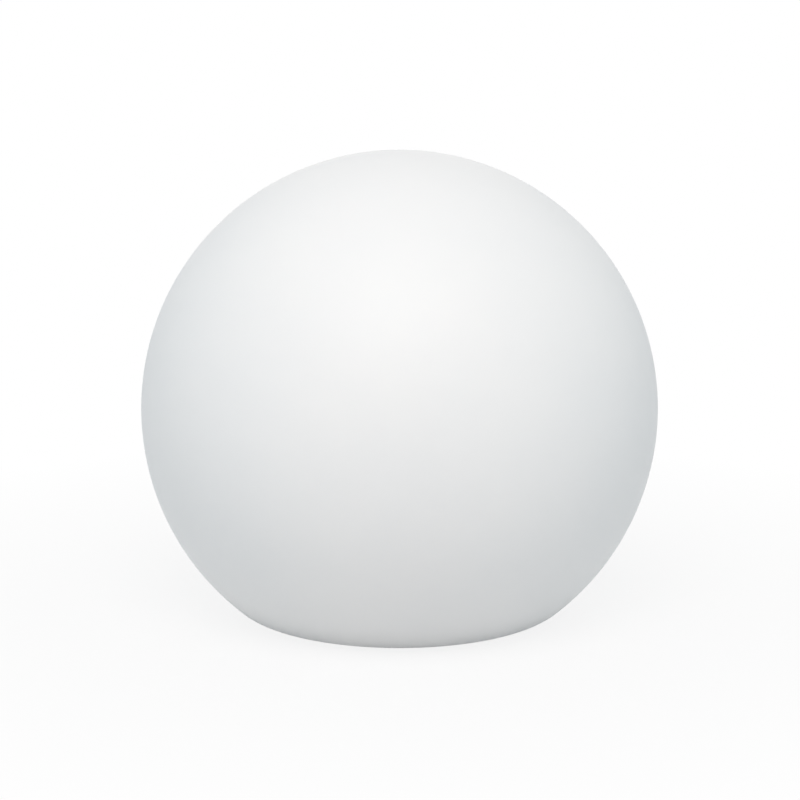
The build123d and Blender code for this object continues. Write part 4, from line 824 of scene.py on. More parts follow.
class Slot(Enum):
    """The record's material slots, each with its finish: colour, shade, roughness and what differs."""

    GLOBE = GlobeSkin((0.91, 0.91, 0.905), (0.89, 0.895, 0.895), 0.48)
    HOUSING = MouldedPlastic((0.052, 0.054, 0.057), (0.034, 0.035, 0.037), 0.52)
    NECK = MouldedPlastic((0.78, 0.78, 0.765), (0.71, 0.71, 0.695), 0.42, depth=0.010 * MM)
    CRADLE = MouldedPlastic((0.030, 0.030, 0.032), (0.018, 0.018, 0.019), 0.55)
    BRASS = Metal((0.78, 0.58, 0.27), (0.66, 0.46, 0.20), 0.28)
    STAINLESS = Metal((0.66, 0.655, 0.64), (0.55, 0.545, 0.53), 0.26)
    SILICONE = Rubber((0.030, 0.030, 0.032), (0.018, 0.018, 0.019), 0.62)
    FEET = Rubber(
        (0.022, 0.022, 0.022), (0.012, 0.012, 0.012), 0.78, skin=Noise(0.5 * MM, 2.0), depth=0.03 * MM
    )
    BUTTON = Rubber((0.55, 0.55, 0.54), (0.47, 0.47, 0.46), 0.50, dust=-0.2)
    PLUNGER = MouldedPlastic((0.62, 0.58, 0.49), (0.54, 0.50, 0.41), 0.48)
    TONGUE = MouldedPlastic((0.020, 0.020, 0.020), (0.012, 0.012, 0.012), 0.45)
    LIGHT_PIPE = ClearPlastic((0.96, 0.97, 0.97), (0.88, 0.90, 0.90), 0.12)
    BOARD_GREEN = CircuitMask((0.012, 0.115, 0.045), (0.008, 0.085, 0.033), 0.30, (0.030, 0.20, 0.085))
    BOARD_WHITE = LedMask((0.80, 0.80, 0.775), (0.70, 0.695, 0.655), 0.36)
    FERRITE = Grains((0.055, 0.055, 0.058), (0.032, 0.032, 0.034), 0.60, shader=(("Coat Weight", 0.0),))
    CAN = Metal((0.72, 0.72, 0.74), (0.62, 0.62, 0.64), 0.22, skin=Noise(1.2 * MM, 4.0, (1.0, 1.0, 0.1)))
    LED_BODY = MouldedPlastic((0.82, 0.81, 0.78), (0.76, 0.745, 0.70), 0.34, depth=0.004 * MM)
    PHOSPHOR = Grains((0.86, 0.60, 0.10), (0.74, 0.46, 0.06), 0.34)
    CELL_WRAP = ShrinkSleeve((0.010, 0.060, 0.230), (0.007, 0.045, 0.185), 0.24)
    NICKEL = Metal((0.66, 0.645, 0.60), (0.55, 0.535, 0.49), 0.30, skin=Noise(1.2 * MM, 4.0, (8.0, 1.0, 1.0)))
    HEAT_PLATE = Metal(
        (0.70, 0.70, 0.71), (0.62, 0.62, 0.63), 0.46, skin=Noise(0.35 * MM, 4.0), depth=0.008 * MM
    )
    DIFFUSER = OpalPlastic((0.86, 0.86, 0.85), (0.82, 0.82, 0.81), 0.30)
    LEAD_RED = Rubber((0.42, 0.012, 0.008), (0.33, 0.009, 0.006), 0.44, dust=0.05)
    LEAD_BLACK = Rubber((0.020, 0.020, 0.020), (0.012, 0.012, 0.012), 0.44, dust=0.05)


@cache
def slot_material(slot: str) -> Material:
    """Makes a slot's material the first time, and gives it again after that."""
    return Slot[slot.upper()].value.make(f"{slot} finish")


def material_of(node: str) -> Material:
    """Gives the material of a CAD node's slot."""
    return slot_material(SLOT_OF[node])


def dress_cad_nodes() -> None:
    """Gives every CAD node that still shows its slot's material."""
    for name in SLOT_OF:
        node = frame["nodes"][name]
        if not node.hide_render:
            node.data.materials.clear()
            node.data.materials.append(material_of(name))
            LOG.info("CAD node %s wears %s", name, SLOT_OF[name])


# ---------------------------------------------------------------- fasteners
@dataclass(frozen=True)
class Screw:
    """A hexagon socket screw. Its head seats at the origin and its thread runs down."""

    radius: float
    length: float
    head_radius: float
    head_height: float
    pitch: float
    countersunk: bool = False
    segments: int = 36

    def section(self) -> Section:
        """Draws the screw's section, from the socket's floor to the thread's tip.

        Returns:
            The section.
        """
        top = 0.0 if self.countersunk else self.head_height
        seat = self.radius - self.head_radius if self.countersunk else 0.0
        socket = self.head_radius / 2
        floor = top - self.head_height / 2
        ease = self.head_height * 0.12
        section = Section(self.segments).add([(0.0, floor - socket * 0.3)])
        section.add([(socket, floor), (socket, top - ease / 2)], flats=1.0)
        section.add([(socket + ease, top)])
        if self.countersunk:
            section.add([(self.head_radius - ease, top), (self.head_radius, top - ease / 2)])
        else:
            section.add(arc((self.head_radius - ease, top - ease), ease, 90, 0, 30))
            section.add([(self.head_radius, 0.0)])
        section.add([(self.radius, seat)])
        root = self.radius - 0.6 * self.pitch
        tip = -self.length
        for k in range(int((seat - tip) / self.pitch) - 2):
            z = seat - self.pitch * (k + 0.5)
            section.add([(self.radius, z), (root, z - self.pitch / 2)])
        return section.add([(root, tip + root * 0.4), (root * 0.6, tip), (0.0, tip)])


M25 = {"radius": 1.25 * MM, "head_radius": 2.2 * MM, "head_height": 1.5 * MM, "pitch": 0.45 * MM}
M3 = {"radius": 1.5 * MM, "head_radius": 2.8 * MM, "head_height": 1.8 * MM, "pitch": 0.5 * MM}
M4 = {"radius": 2.0 * MM, "head_radius": 3.8 * MM, "head_height": 2.0 * MM, "pitch": 0.7 * MM}


@dataclass(frozen=True)
class Ring:
    """How like pieces stand round the axis. Angles are in degrees, and a tilt of 180 turns them over."""

    count: int
    radius: float
    height: float
    start: float = 0.0
    tilt: float = 0.0


def foot_of(node: str) -> float:
    """Gives the height of a CAD node's lowest point."""
    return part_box(node)[0].z


def top_of(node: str) -> float:
    """Gives the height of a CAD node's highest point."""
    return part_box(node)[1].z


# ---------------------------------------------------------------- sub-assemblies
class Workshop:
    """The tools that every sub-assembly shares."""

    def __init__(self) -> None:
        """Draws the trees of turned pieces and of rings, once for all."""
        self.lathe = GeometryTree("turned piece", Int="segments teeth", Float="tooth_depth")
        self.lathe.close(self.lathe.turned())
        floats = "radius height start tilt"
        rings = GeometryTree("ring of pieces", Object="pattern", Int="count", Float=floats)
        pattern = rings.node("GeometryNodeObjectInfo", None, {"Object": rings["pattern"]}).out("Geometry")
        self.rings = rings.close(
            rings.ring(pattern, rings["radius"], rings["height"], rings["start"], rings["tilt"])
        )

    def hand_over(self, piece: Piece, node: str) -> None:
        """Names a finished piece after its CAD node, ties it to the node's body, looks up the node's slot,
        hides the node and reports it.

        Args:
            piece: the finished piece.
            node: the CAD node that it stands for.
        """
        piece.name = piece.data.name = f"{node}_shown"
        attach(piece, BODY_OF[node])
        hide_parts(node)
        SLOT_OF[node]
        LOG.info("%s stands for %s, %d faces", piece.name, node, len(piece.data.polygons))

    def ease(self, node: str, width: float) -> None:
        """Replaces a CAD node by its own form with smooth faces and softly rounded edges.

        Args:
            node: the CAD node.
            width: the edges' rounding, or 0 to leave them as they are.
        """
        mesh = bpy.data.meshes.new("eased")
        with opened(mesh) as work:
            work.from_mesh(frame["nodes"][node].data)
            bmesh.ops.remove_doubles(work, verts=work.verts, dist=MERGE_DISTANCE)
            bmesh.ops.dissolve_limit(work, angle_limit=FLAT_LIMIT, verts=work.verts, edges=work.edges)
        wear(mesh, material_of(node))
        shade(mesh)
        piece = place("eased", mesh)
        if width > 0:
            bevel = piece.modifiers.new("eased edges", "BEVEL")
            bevel.width = width
            bevel.segments = BEVEL_STEPS
            bevel.limit_method = "ANGLE"
            bevel.angle_limit = SMOOTH_LIMIT
            bevel.harden_normals = True
            keep_result(piece, bevel)
        self.hand_over(piece, node)

    def turn(self, node: str, section: Section) -> Piece:
        """Makes a turned piece, in the finish of a CAD node."""
        return self.lathe.run(section.mesh(), {"material": material_of(node), **section.inputs()})

    def repeat(self, node: str, pattern: Piece, ring: Ring) -> Piece:
        """Sets copies of a pattern piece round the axis.

        Args:
            node: the CAD node whose finish they get.
            pattern: the pattern, which stands on the origin.
            ring: how they stand.

        Returns:
            One piece that holds all copies.
        """
        turns = {"start": math.radians(ring.start), "tilt": math.radians(ring.tilt)}
        inputs = {**vars(ring), **turns, "pattern": pattern, "material": material_of(node)}
        return self.rings.run(bpy.data.meshes.new("seats"), inputs)

    def turn_ring(self, node: str, section: Section, ring: Ring) -> None:
        """Replaces a CAD node by turned pieces round the axis.

        Args:
            node: the CAD node.
            section: each piece's section.
            ring: how the pieces stand.
        """
        pattern = self.turn(node, section)
        self.hand_over(self.repeat(node, pattern, ring), node)
        discard(pattern)

    def join(self, node: str, pieces: Sequence[Piece], places: Sequence[Corner] = ((0.0, 0.0, 0.0),)) -> None:
        """Replaces a CAD node by copies of some pieces, each set down unturned at every place.

        Args:
            node: the CAD node.
            pieces: what is copied, which is then removed.
            places: where the copies' origins come.
        """
        mesh = bpy.data.meshes.new("joined")
        with opened(mesh) as work:
            for spot in places:
                first = len(work.verts)
                for piece in pieces:
                    work.from_mesh(piece.data)
                work.verts.ensure_lookup_table()
                bmesh.ops.translate(work, vec=spot, verts=work.verts[first:])
        wear(mesh, material_of(node))
        shade(mesh)
        for piece in pieces:
            discard(piece)
        self.hand_over(place("joined", mesh), node)


@dataclass
class Assembly:
    """A sub-assembly: the CAD nodes that it eases, its rings of screws, and forms of its own."""

    shop: Workshop
    eased: tuple[tuple[str, float], ...] = ()
    screws: tuple[tuple[str, Screw, Ring], ...] = ()

    def build(self) -> None:
        """Makes all its pieces."""
        for node, width in self.eased:
            self.shop.ease(node, width)
        for node, screw, ring in self.screws:
            self.shop.turn_ring(node, screw.section(), ring)
        self.build_forms()

    def build_forms(self) -> None:
        """Makes the pieces with a form of their own, if there are any."""


@dataclass
class Globe(Assembly):
    """The moulded globe with its flat foot, and the inserts in its bosses."""

    radius: float = 150 * MM
    wall: float = 3 * MM
    edge_radius: float = 22 * MM
    edge_centre: float = 83.5 * MM
    recess_radius: float = 70 * MM
    recess_edge: float = 5.1 * MM
    opening_radius: float = 54.9 * MM
    rim_height: float = 1 * MM
    seat_height: float = 24 * MM
    boss_count: int = 6
    boss_pitch_radius: float = 61.3 * MM
    boss_radius: float = 5.5 * MM
    boss_top: float = 33.5 * MM
    hole_radius: float = 3.05 * MM
    insert_radius: float = 3 * MM
    insert_bore: float = 2.05 * MM
    insert_waist: float = 2.5 * MM
    insert_length: float = 8 * MM
    insert_ease: float = 0.3 * MM
    knurl_count: int = 24
    knurl_depth: float = 0.22 * MM
    segments: int = 240
    post_segments: int = 40

    def build_forms(self) -> None:
        """Makes the shell and its inserts."""
        self.build_shell()
        self.build_inserts()

    def wall_line(self, inset: float, step: float) -> list[Point]:
        """Draws the globe's line from its top to its foot's flat.

        Args:
            inset: how far inside the outer face the line runs.
            step: the largest turn from one point to the next, in degrees.

        Returns:
            The points.
        """
        edge = (self.edge_centre, self.rim_height + self.edge_radius)
        reach = self.radius - self.edge_radius
        centre_z = edge[1] + math.sqrt(reach**2 - self.edge_centre**2)
        meet = math.degrees(math.atan2(edge[1] - centre_z, self.edge_centre))
        sphere = arc((0.0, centre_z), self.radius - inset, 90, meet, step)
        foot = arc(edge, self.edge_radius - inset, meet, -90, 3 * step)
        sphere[0] = (0.0, centre_z + self.radius - inset)
        return sphere + foot[1:]

    def shell_section(self) -> Section:
        """Draws the shell's section: down outside, round the opening, and up inside.

        Returns:
            The section.
        """
        outer = self.wall_line(0.0, 1.5)
        inner = self.wall_line(self.wall, 2.0)
        rim, seat, wall = self.rim_height, self.seat_height, self.wall
        run = [
            (self.edge_centre, rim, 0.0),
            (self.recess_radius, rim, self.recess_edge),
            (self.recess_radius, seat, 1.2 * MM),
            (self.opening_radius, seat, 0.4 * MM),
            (self.opening_radius, seat + wall, 0.4 * MM),
            (self.recess_radius + wall, seat + wall, 1.5 * MM),
            (self.recess_radius + wall, rim + wall, self.recess_edge - wall),
            (self.edge_centre, rim + wall, 0.0),
        ]
        return Section(self.segments).add(outer[:-1]).add(rounded(run)).add(inner[:-1][::-1])

    def build_shell(self) -> None:
        """Turns the shell, adds its bosses and bores their holes."""
        tree = GeometryTree(
            "moulded shell", Int="segments teeth count", Float="tooth_depth pitch boss hole seat top depth"
        )
        seat, depth = tree["seat"], tree["depth"]
        bosses = self.posts(tree, tree["boss"], seat + self.wall / 2, tree["top"])
        holes = self.posts(tree, tree["hole"], seat - depth, seat + depth)
        both = {"operation": "UNION", "solver": "MANIFOLD"}
        less = {"operation": "DIFFERENCE", "solver": "MANIFOLD"}
        united = tree.node("GeometryNodeMeshBoolean", both, {1: [tree.turned(), bosses]})
        tree.close(tree.node("GeometryNodeMeshBoolean", less, {0: united, 1: holes}))
        section = self.shell_section()
        inputs = {
            **section.inputs(),
            "count": self.boss_count,
            "pitch": self.boss_pitch_radius,
            "boss": self.boss_radius,
            "hole": self.hole_radius,
            "seat": self.seat_height,
            "top": self.boss_top,
            "depth": self.insert_length,
            "material": material_of("globe_shell"),
        }
        self.shop.hand_over(tree.run(section.mesh(), inputs), "globe_shell")

    def posts(self, tree: GeometryTree, radius: Expr, low: Expr, high: Expr) -> Expr:
        """Adds a ring of upright posts, as many as there are bosses.

        Args:
            tree: the tree to add to.
            radius: each post's radius.
            low: the height of their feet.
            high: the height of their tops.

        Returns:
            The posts as real geometry.
        """
        sockets = {"Vertices": self.post_segments, "Radius": radius, "Depth": high - low}
        post = tree.node("GeometryNodeMeshCylinder", None, sockets)
        ring = tree.ring(post, tree["pitch"], (low + high) / 2.0, 0.0, 0.0)
        return tree.node("GeometryNodeRealizeInstances", None, {"Geometry": ring})

    def build_inserts(self) -> None:
        """Makes the knurled inserts: two knurled bands with a plain waist between them."""
        outer, bore, waist = self.insert_radius, self.insert_bore, self.insert_waist
        length, ease = self.insert_length, self.insert_ease
        section = Section(2 * self.knurl_count, self.knurl_count, self.knurl_depth)
        section.add([(bore, 0.0), (outer - ease, 0.0)])
        section.add([(outer, ease), (outer, 0.40 * length)], teeth=1.0)
        section.add([(waist, 0.45 * length), (waist, 0.55 * length)])
        section.add([(outer, 0.60 * length), (outer, length - ease)], teeth=1.0)
        section.add([(outer - ease, length), (bore, length), (bore, 0.0)])
        ring = Ring(self.boss_count, self.boss_pitch_radius, self.seat_height)
        self.shop.turn_ring("threaded_inserts", section, ring)


@dataclass
class Neck(Assembly):
    """The bored ring under the globe's opening, with its countersunk screws."""

    eased: tuple[tuple[str, float], ...] = (("neck_ring", 0.35 * MM),)
    screws: tuple[tuple[str, Screw, Ring], ...] = (
        (
            "neck_ring_screws",
            Screw(length=9 * MM, countersunk=True, **M4),
            Ring(6, 61.3 * MM, foot_of("neck_ring"), tilt=180),
        ),
    )


@dataclass
class LampHousing(Assembly):
    """The stepped drum, the gasket that the globe rests on and the clips that grip its neck."""

    eased: tuple[tuple[str, float], ...] = (("base_housing", 0.5 * MM), ("spring_clips", 0.0))
    screws: tuple[tuple[str, Screw, Ring], ...] = (
        ("clip_screws", Screw(length=4.5 * MM, **M25), Ring(3, 48.3 * MM, 48.5 * MM, tilt=90)),
    )
    gasket_bore: float = 52 * MM
    gasket_ease: float = 0.45 * MM
    gasket_groove: float = 0.35 * MM
    gasket_segments: int = 160

    def build_forms(self) -> None:
        """Makes the flat gasket, with a rounded section and two shallow ribs on top."""
        low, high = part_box("seat_gasket")
        inner, outer, ease = self.gasket_bore, high.x, self.gasket_ease
        third, valley = (outer - inner) / 3, high.z - self.gasket_groove
        corners = [
            (inner, low.z, ease),
            (outer, low.z, ease),
            (outer, high.z, ease),
            (outer - third, high.z, ease / 2),
            (outer - third * 1.2, valley, ease / 2),
            (inner + third * 1.2, valley, ease / 2),
            (inner + third, high.z, ease / 2),
            (inner, high.z, ease),
        ]
        section = Section(self.gasket_segments).add(rounded(corners, closed=True, step=30))
        self.shop.hand_over(self.shop.turn("seat_gasket", section), "seat_gasket")


@dataclass
class BaseCover(Assembly):
    """The lower cover with its sunk screws and rubber feet."""

    eased: tuple[tuple[str, float], ...] = (("base_cover", 0.35 * MM), ("cover_seal", 0.35 * MM))
    screws: tuple[tuple[str, Screw, Ring], ...] = (
        ("cover_screws", Screw(length=10.4 * MM, **M3), Ring(6, 55.25 * MM, 3.6 * MM, tilt=180)),
    )
    feet: Ring = Ring(4, 55 * MM, 0.0, 45.0)
    foot_radius: float = 7 * MM
    foot_edge: float = 0.9 * MM
    foot_segments: int = 64
    grip_rings: int = 3
    grip_width: float = 0.5 * MM
    grip_depth: float = 0.35 * MM

    def build_forms(self) -> None:
        """Makes the feet: rounded rubber pads with grip rings underneath."""
        height = top_of("rubber_feet")
        edge, groove = self.foot_edge, self.grip_width
        pitch = (self.foot_radius - edge) / (self.grip_rings + 0.5)
        section = Section(self.foot_segments).add([(0.0, 0.0)])
        for k in range(self.grip_rings):
            middle = pitch * (k + 0.75)
            section.add([(middle - groove, 0.0), (middle - groove / 2, self.grip_depth)])
            section.add([(middle + groove / 2, self.grip_depth), (middle + groove, 0.0)])
        section.add(arc((self.foot_radius - edge, edge), edge, -90, 0, 18))
        section.add([(self.foot_radius, height), (0.0, height)])
        self.shop.turn_ring("rubber_feet", section, self.feet)


@dataclass
class Controls(Assembly):
    """What lies in the dish under the base: button, socket and flap, light pipe and vent."""

    eased: tuple[tuple[str, float], ...] = (
        ("power_button", 0.25 * MM),
        ("port_cover", 0.25 * MM),
        ("port_cover_anchor", 0.25 * MM),
        ("charge_socket", 0.0),
        ("socket_tongue", 0.12 * MM),
        ("light_pipe", 0.12 * MM),
        ("breather_vent", 0.12 * MM),
        ("button_seal", 0.12 * MM),
        ("switch_body", 0.12 * MM),
        ("switch_plunger", 0.12 * MM),
    )


@dataclass
class Electronics(Assembly):
    """The control board, its screws and what stands on it."""

    eased: tuple[tuple[str, float], ...] = (
        ("control_board", 0.0),
        ("driver_chips", 0.12 * MM),
        ("board_headers", 0.12 * MM),
        ("lead_plugs", 0.12 * MM),
    )
    screws: tuple[tuple[str, Screw, Ring], ...] = (
        (
            "control_board_screws",
            Screw(length=5.4 * MM, **M25),
            Ring(4, 31 * MM, top_of("control_board"), start=45.0),
        ),
    )
    can_radius: float = 4 * MM
    can_places: tuple[Point, ...] = ((20 * MM, 4 * MM), (-6 * MM, -14 * MM))
    coil_place: Point = (-20 * MM, 9 * MM)
    coil_radius: float = 5.2 * MM
    coil_side: float = 11 * MM
    coil_base: float = 1 * MM
    coil_flange: float = 0.8 * MM
    coil_turns: int = 7
    wire_radius: float = 0.27 * MM
    segments: int = 56

    def build_forms(self) -> None:
        """Makes the cans and the choke."""
        self.build_capacitors()
        self.build_inductor()

    def build_capacitors(self) -> None:
        """Makes the cans: a narrower seat, a rolled groove over it, and a rounded top with a pressed rim."""
        low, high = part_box("capacitors")
        can, top, roll = self.can_radius, high.z - low.z, 0.35 * MM
        corners = [
            (0.0, 0.0, 0.0),
            (can - roll, 0.0, 0.15 * MM),
            (can - roll, 0.5 * MM, 0.0),
            (can, 0.6 * MM, 0.0),
            (can, 1.3 * MM, 0.2 * MM),
            (can - roll, 1.8 * MM, 0.3 * MM),
            (can, 2.3 * MM, 0.2 * MM),
            (can, top, 0.6 * MM),
            (can - 1.0 * MM, top, 0.1 * MM),
            (can - 1.2 * MM, top - 0.2 * MM, 0.1 * MM),
            (0.0, top - 0.2 * MM, 0.0),
        ]
        pattern = self.shop.turn("capacitors", Section(self.segments).add(rounded(corners)))
        self.shop.join("capacitors", [pattern], [(x, y, low.z) for x, y in self.can_places])

    def build_inductor(self) -> None:
        """Makes the choke: a square seat, and a drum core with its winding between two flanges."""
        low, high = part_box("power_inductor")
        outer, base, top = self.coil_radius, self.coil_base, high.z - low.z
        gap = (top - base - 2 * self.coil_flange) / self.coil_turns
        winding, edge = outer - 2 * self.wire_radius, 0.3 * MM
        section = Section(self.segments).add([(0.0, base), (outer, base), (outer, base + self.coil_flange)])
        for k in range(self.coil_turns):
            middle = base + self.coil_flange + (k + 0.5) * gap
            section.add(arc((winding, middle), self.wire_radius, -75, 75, 30))
        section.add([(outer, top - self.coil_flange)])
        section.add(arc((outer - edge, top - edge), edge, 0, 90, 30)).add([(0.0, top)])
        side, corner, ease = self.coil_side, 1 * MM, 0.15 * MM
        seat = stack(
            [
                (side, side, corner, 0.0),
                (side, side, corner, base - ease),
                (side - 2 * ease, side - 2 * ease, corner, base),
            ]
        )
        drum = self.shop.turn("power_inductor", section)
        self.shop.join("power_inductor", [drum, seat], [(*self.coil_place, low.z)])


@dataclass
class Battery(Assembly):
    """Two sleeved cells in their cradle, with the clamp and the screws of both."""

    eased: tuple[tuple[str, float], ...] = (
        ("battery_cradle", 0.0),
        ("battery_clamp", 0.3 * MM),
        ("cell_terminals", 0.15 * MM),
    )
    screws: tuple[tuple[str, Screw, Ring], ...] = (
        ("clamp_screws", Screw(length=9 * MM, **M3), Ring(2, 23 * MM, 49.5 * MM)),
        (
            "cradle_screws",
            Screw(length=9 * MM, **M3),
            Ring(4, 43 * MM, foot_of("battery_cradle"), start=45.0, tilt=180),
        ),
    )
    cell_radius: float = 9.2 * MM
    cell_segments: int = 96
    sleeve_round: float = 0.5 * MM
    sleeve_lip: float = 6.9 * MM
    end_recess: float = 0.25 * MM
    crimp_depth: float = 0.35 * MM
    crimp_place: float = 4.6 * MM

    def build_forms(self) -> None:
        """Makes the cells, head to tail: a folded sleeve at both ends and a crimp under the head."""
        low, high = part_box("battery_cells")
        radius, length, lip = self.cell_radius, high.y - low.y, self.sleeve_lip
        recess, crimp, deep = self.end_recess, length - self.crimp_place, radius - self.crimp_depth
        corners = [
            (0.0, 0.0, 0.0),
            (0.78 * lip, 0.0, 0.0),
            (0.82 * lip, recess, 0.0),
            (0.95 * lip, recess, 0.0),
            (lip, 0.0, 0.0),
            (radius, 0.0, self.sleeve_round),
            (radius, crimp - 0.8 * MM, 0.4 * MM),
            (deep, crimp - 0.3 * MM, 0.2 * MM),
            (deep, crimp + 0.3 * MM, 0.2 * MM),
            (radius, crimp + 0.8 * MM, 0.4 * MM),
            (radius, length, self.sleeve_round),
            (lip, length, 0.0),
            (0.95 * lip, length - recess, 0.0),
            (0.53 * lip, length - recess, 0.0),
            (0.50 * lip, length, 0.0),
            (0.0, length, 0.0),
        ]
        laid = Matrix.Translation((0.0, -length / 2, 0.0)) @ Matrix.Rotation(-math.pi / 2, 4, "X")
        cells = []
        for side, turn in ((-1, 0.0), (1, math.pi)):
            cell = self.shop.turn("battery_cells", Section(self.cell_segments).add(rounded(corners)))
            middle = (side * (high.x - radius), (low.y + high.y) / 2, (low.z + high.z) / 2)
            cell.data.transform(Matrix.Translation(middle) @ Matrix.Rotation(turn, 4, "Z") @ laid)
            cells.append(cell)
        self.shop.join("battery_cells", cells)


@dataclass
class LightEngine(Assembly):
    """The LED board on its heat plate, under the opal dome and its ring."""

    eased: tuple[tuple[str, float], ...] = (
        ("dome_ring", 0.3 * MM),
        ("dome_seal", 0.3 * MM),
        ("heat_plate", 0.3 * MM),
        ("led_board", 0.0),
    )
    screws: tuple[tuple[str, Screw, Ring], ...] = (
        ("dome_ring_screws", Screw(length=13.5 * MM, **M25), Ring(6, 44.9 * MM, 63.2 * MM, 30.0)),
        ("led_board_screws", Screw(length=3.3 * MM, **M25), Ring(3, 21.5 * MM, top_of("led_board"), 90.0)),
    )
    dome_radius: float = 41 * MM
    dome_wall: float = 2.2 * MM
    dome_shoulder: float = 9 * MM
    dome_segments: int = 160
    flange_radius: float = 47.2 * MM
    flange_height: float = 2.5 * MM
    seal_radius: float = 42.4 * MM
    seal_width: float = 1.45 * MM
    led_length: float = 3.5 * MM
    led_width: float = 2.8 * MM
    led_height: float = 0.8 * MM
    led_frame: float = 0.4 * MM
    led_window: float = 0.3 * MM
    led_slope: float = 0.12 * MM
    led_corner: float = 0.12 * MM
    led_ease: float = 0.05 * MM
    led_rings: tuple[Ring, ...] = (
        Ring(12, 30 * MM, top_of("led_board"), 15.0),
        Ring(6, 13 * MM, top_of("led_board")),
    )

    def build_forms(self) -> None:
        """Makes the dome and the LEDs under it."""
        self.build_dome()
        self.build_leds()

    def build_dome(self) -> None:
        """Makes the opal dome with a rounded shoulder, its flange and the seal's groove."""
        low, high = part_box("lens_dome")
        side, wall, bend, flange = self.dome_radius, self.dome_wall, self.dome_shoulder, self.flange_radius
        shoulder, flange_top = high.z - bend, low.z + self.flange_height
        mitre = wall * math.tan(math.radians(45 / 2))
        groove_in, groove_out = self.seal_radius - self.seal_width / 2, self.seal_radius + self.seal_width / 2
        corners = [
            (0.0, high.z, 0.0),
            (side - bend, high.z, 14 * MM),
            (side, shoulder, 14 * MM),
            (side, flange_top, 1.0 * MM),
            (flange, flange_top, 0.4 * MM),
            (flange, low.z, 0.3 * MM),
            (groove_out, low.z, 0.0),
            (groove_out, low.z + self.seal_width, 0.0),
            (groove_in, low.z + self.seal_width, 0.0),
            (groove_in, low.z, 0.0),
            (side - wall, low.z, 0.3 * MM),
            (side - wall, shoulder - mitre, 12 * MM),
            (side - bend - mitre, high.z - wall, 12 * MM),
            (0.0, high.z - wall, 0.0),
        ]
        section = Section(self.dome_segments).add(rounded(corners, step=5.0))
        self.shop.hand_over(self.shop.turn("lens_dome", section), "lens_dome")

    def build_leds(self) -> None:
        """Makes the LED packages with sloping reflector walls, and the phosphor in them."""
        length, width, high = self.led_length, self.led_width, self.led_height
        long, wide = length - 2 * self.led_frame, width - 2 * self.led_frame
        slope, corner, ease = self.led_slope, self.led_corner, self.led_ease
        floor = (long - slope, wide - slope, 2 * corner, high - self.led_window)
        body = [
            (length, width, corner, 0.0),
            (length, width, corner, high - ease),
            (length - 2 * ease, width - 2 * ease, corner, high),
            (long, wide, 2 * corner, high),
            floor,
        ]
        fill = [
            floor,
            (long - ease, wide - ease, 2 * corner, high - 2 * ease),
            (long - 6 * ease, wide - 6 * ease, 2 * corner, high - ease),
        ]
        for node, layers in (("led_packages", body), ("led_emitters", fill)):
            pattern = stack(layers)
            rings = [self.shop.repeat(node, pattern, ring) for ring in self.led_rings]
            discard(pattern)
            self.shop.join(node, rings)


# ---------------------------------------------------------------- studio
def look_from(thing: Piece, target: Vector, azimuth: float, elevation: float, distance: float) -> None:
    """Places a camera or light so that it looks at a point.

    Args:
        thing: the camera or light.
        target: the point that it looks at.
        azimuth: the side that it looks from, 0 for -Y and 90 for +X, in degrees.
        elevation: its height above the horizon, in degrees.
        distance: how far away it stands.
    """
    a, e = math.radians(azimuth), math.radians(elevation)
    back = Vector((math.sin(a) * math.cos(e), -math.cos(a) * math.cos(e), math.sin(e)))
    thing.location = target + back * distance
    thing.rotation_euler = (-back).to_track_quat("-Z", "Y").to_euler()


@dataclass
class Lamp:
    """A square soft light that looks at the globe. One that shines also shows in gloss."""

    name: str
    azimuth: float
    elevation: float
    distance: float
    side: float
    power: float
    colour: Colour
    shines: bool = False

    def build(self, target: Vector) -> None:
        """Makes the light.

        Args:
            target: the point that it looks at.
        """
        data = bpy.data.lights.new(self.name, "AREA")
        data.shape, data.size = "SQUARE", self.side
        data.energy, data.color = self.power, self.colour
        lamp = place(self.name, data)
        lamp.visible_glossy = self.shines
        look_from(lamp, target, self.azimuth, self.elevation, self.distance)


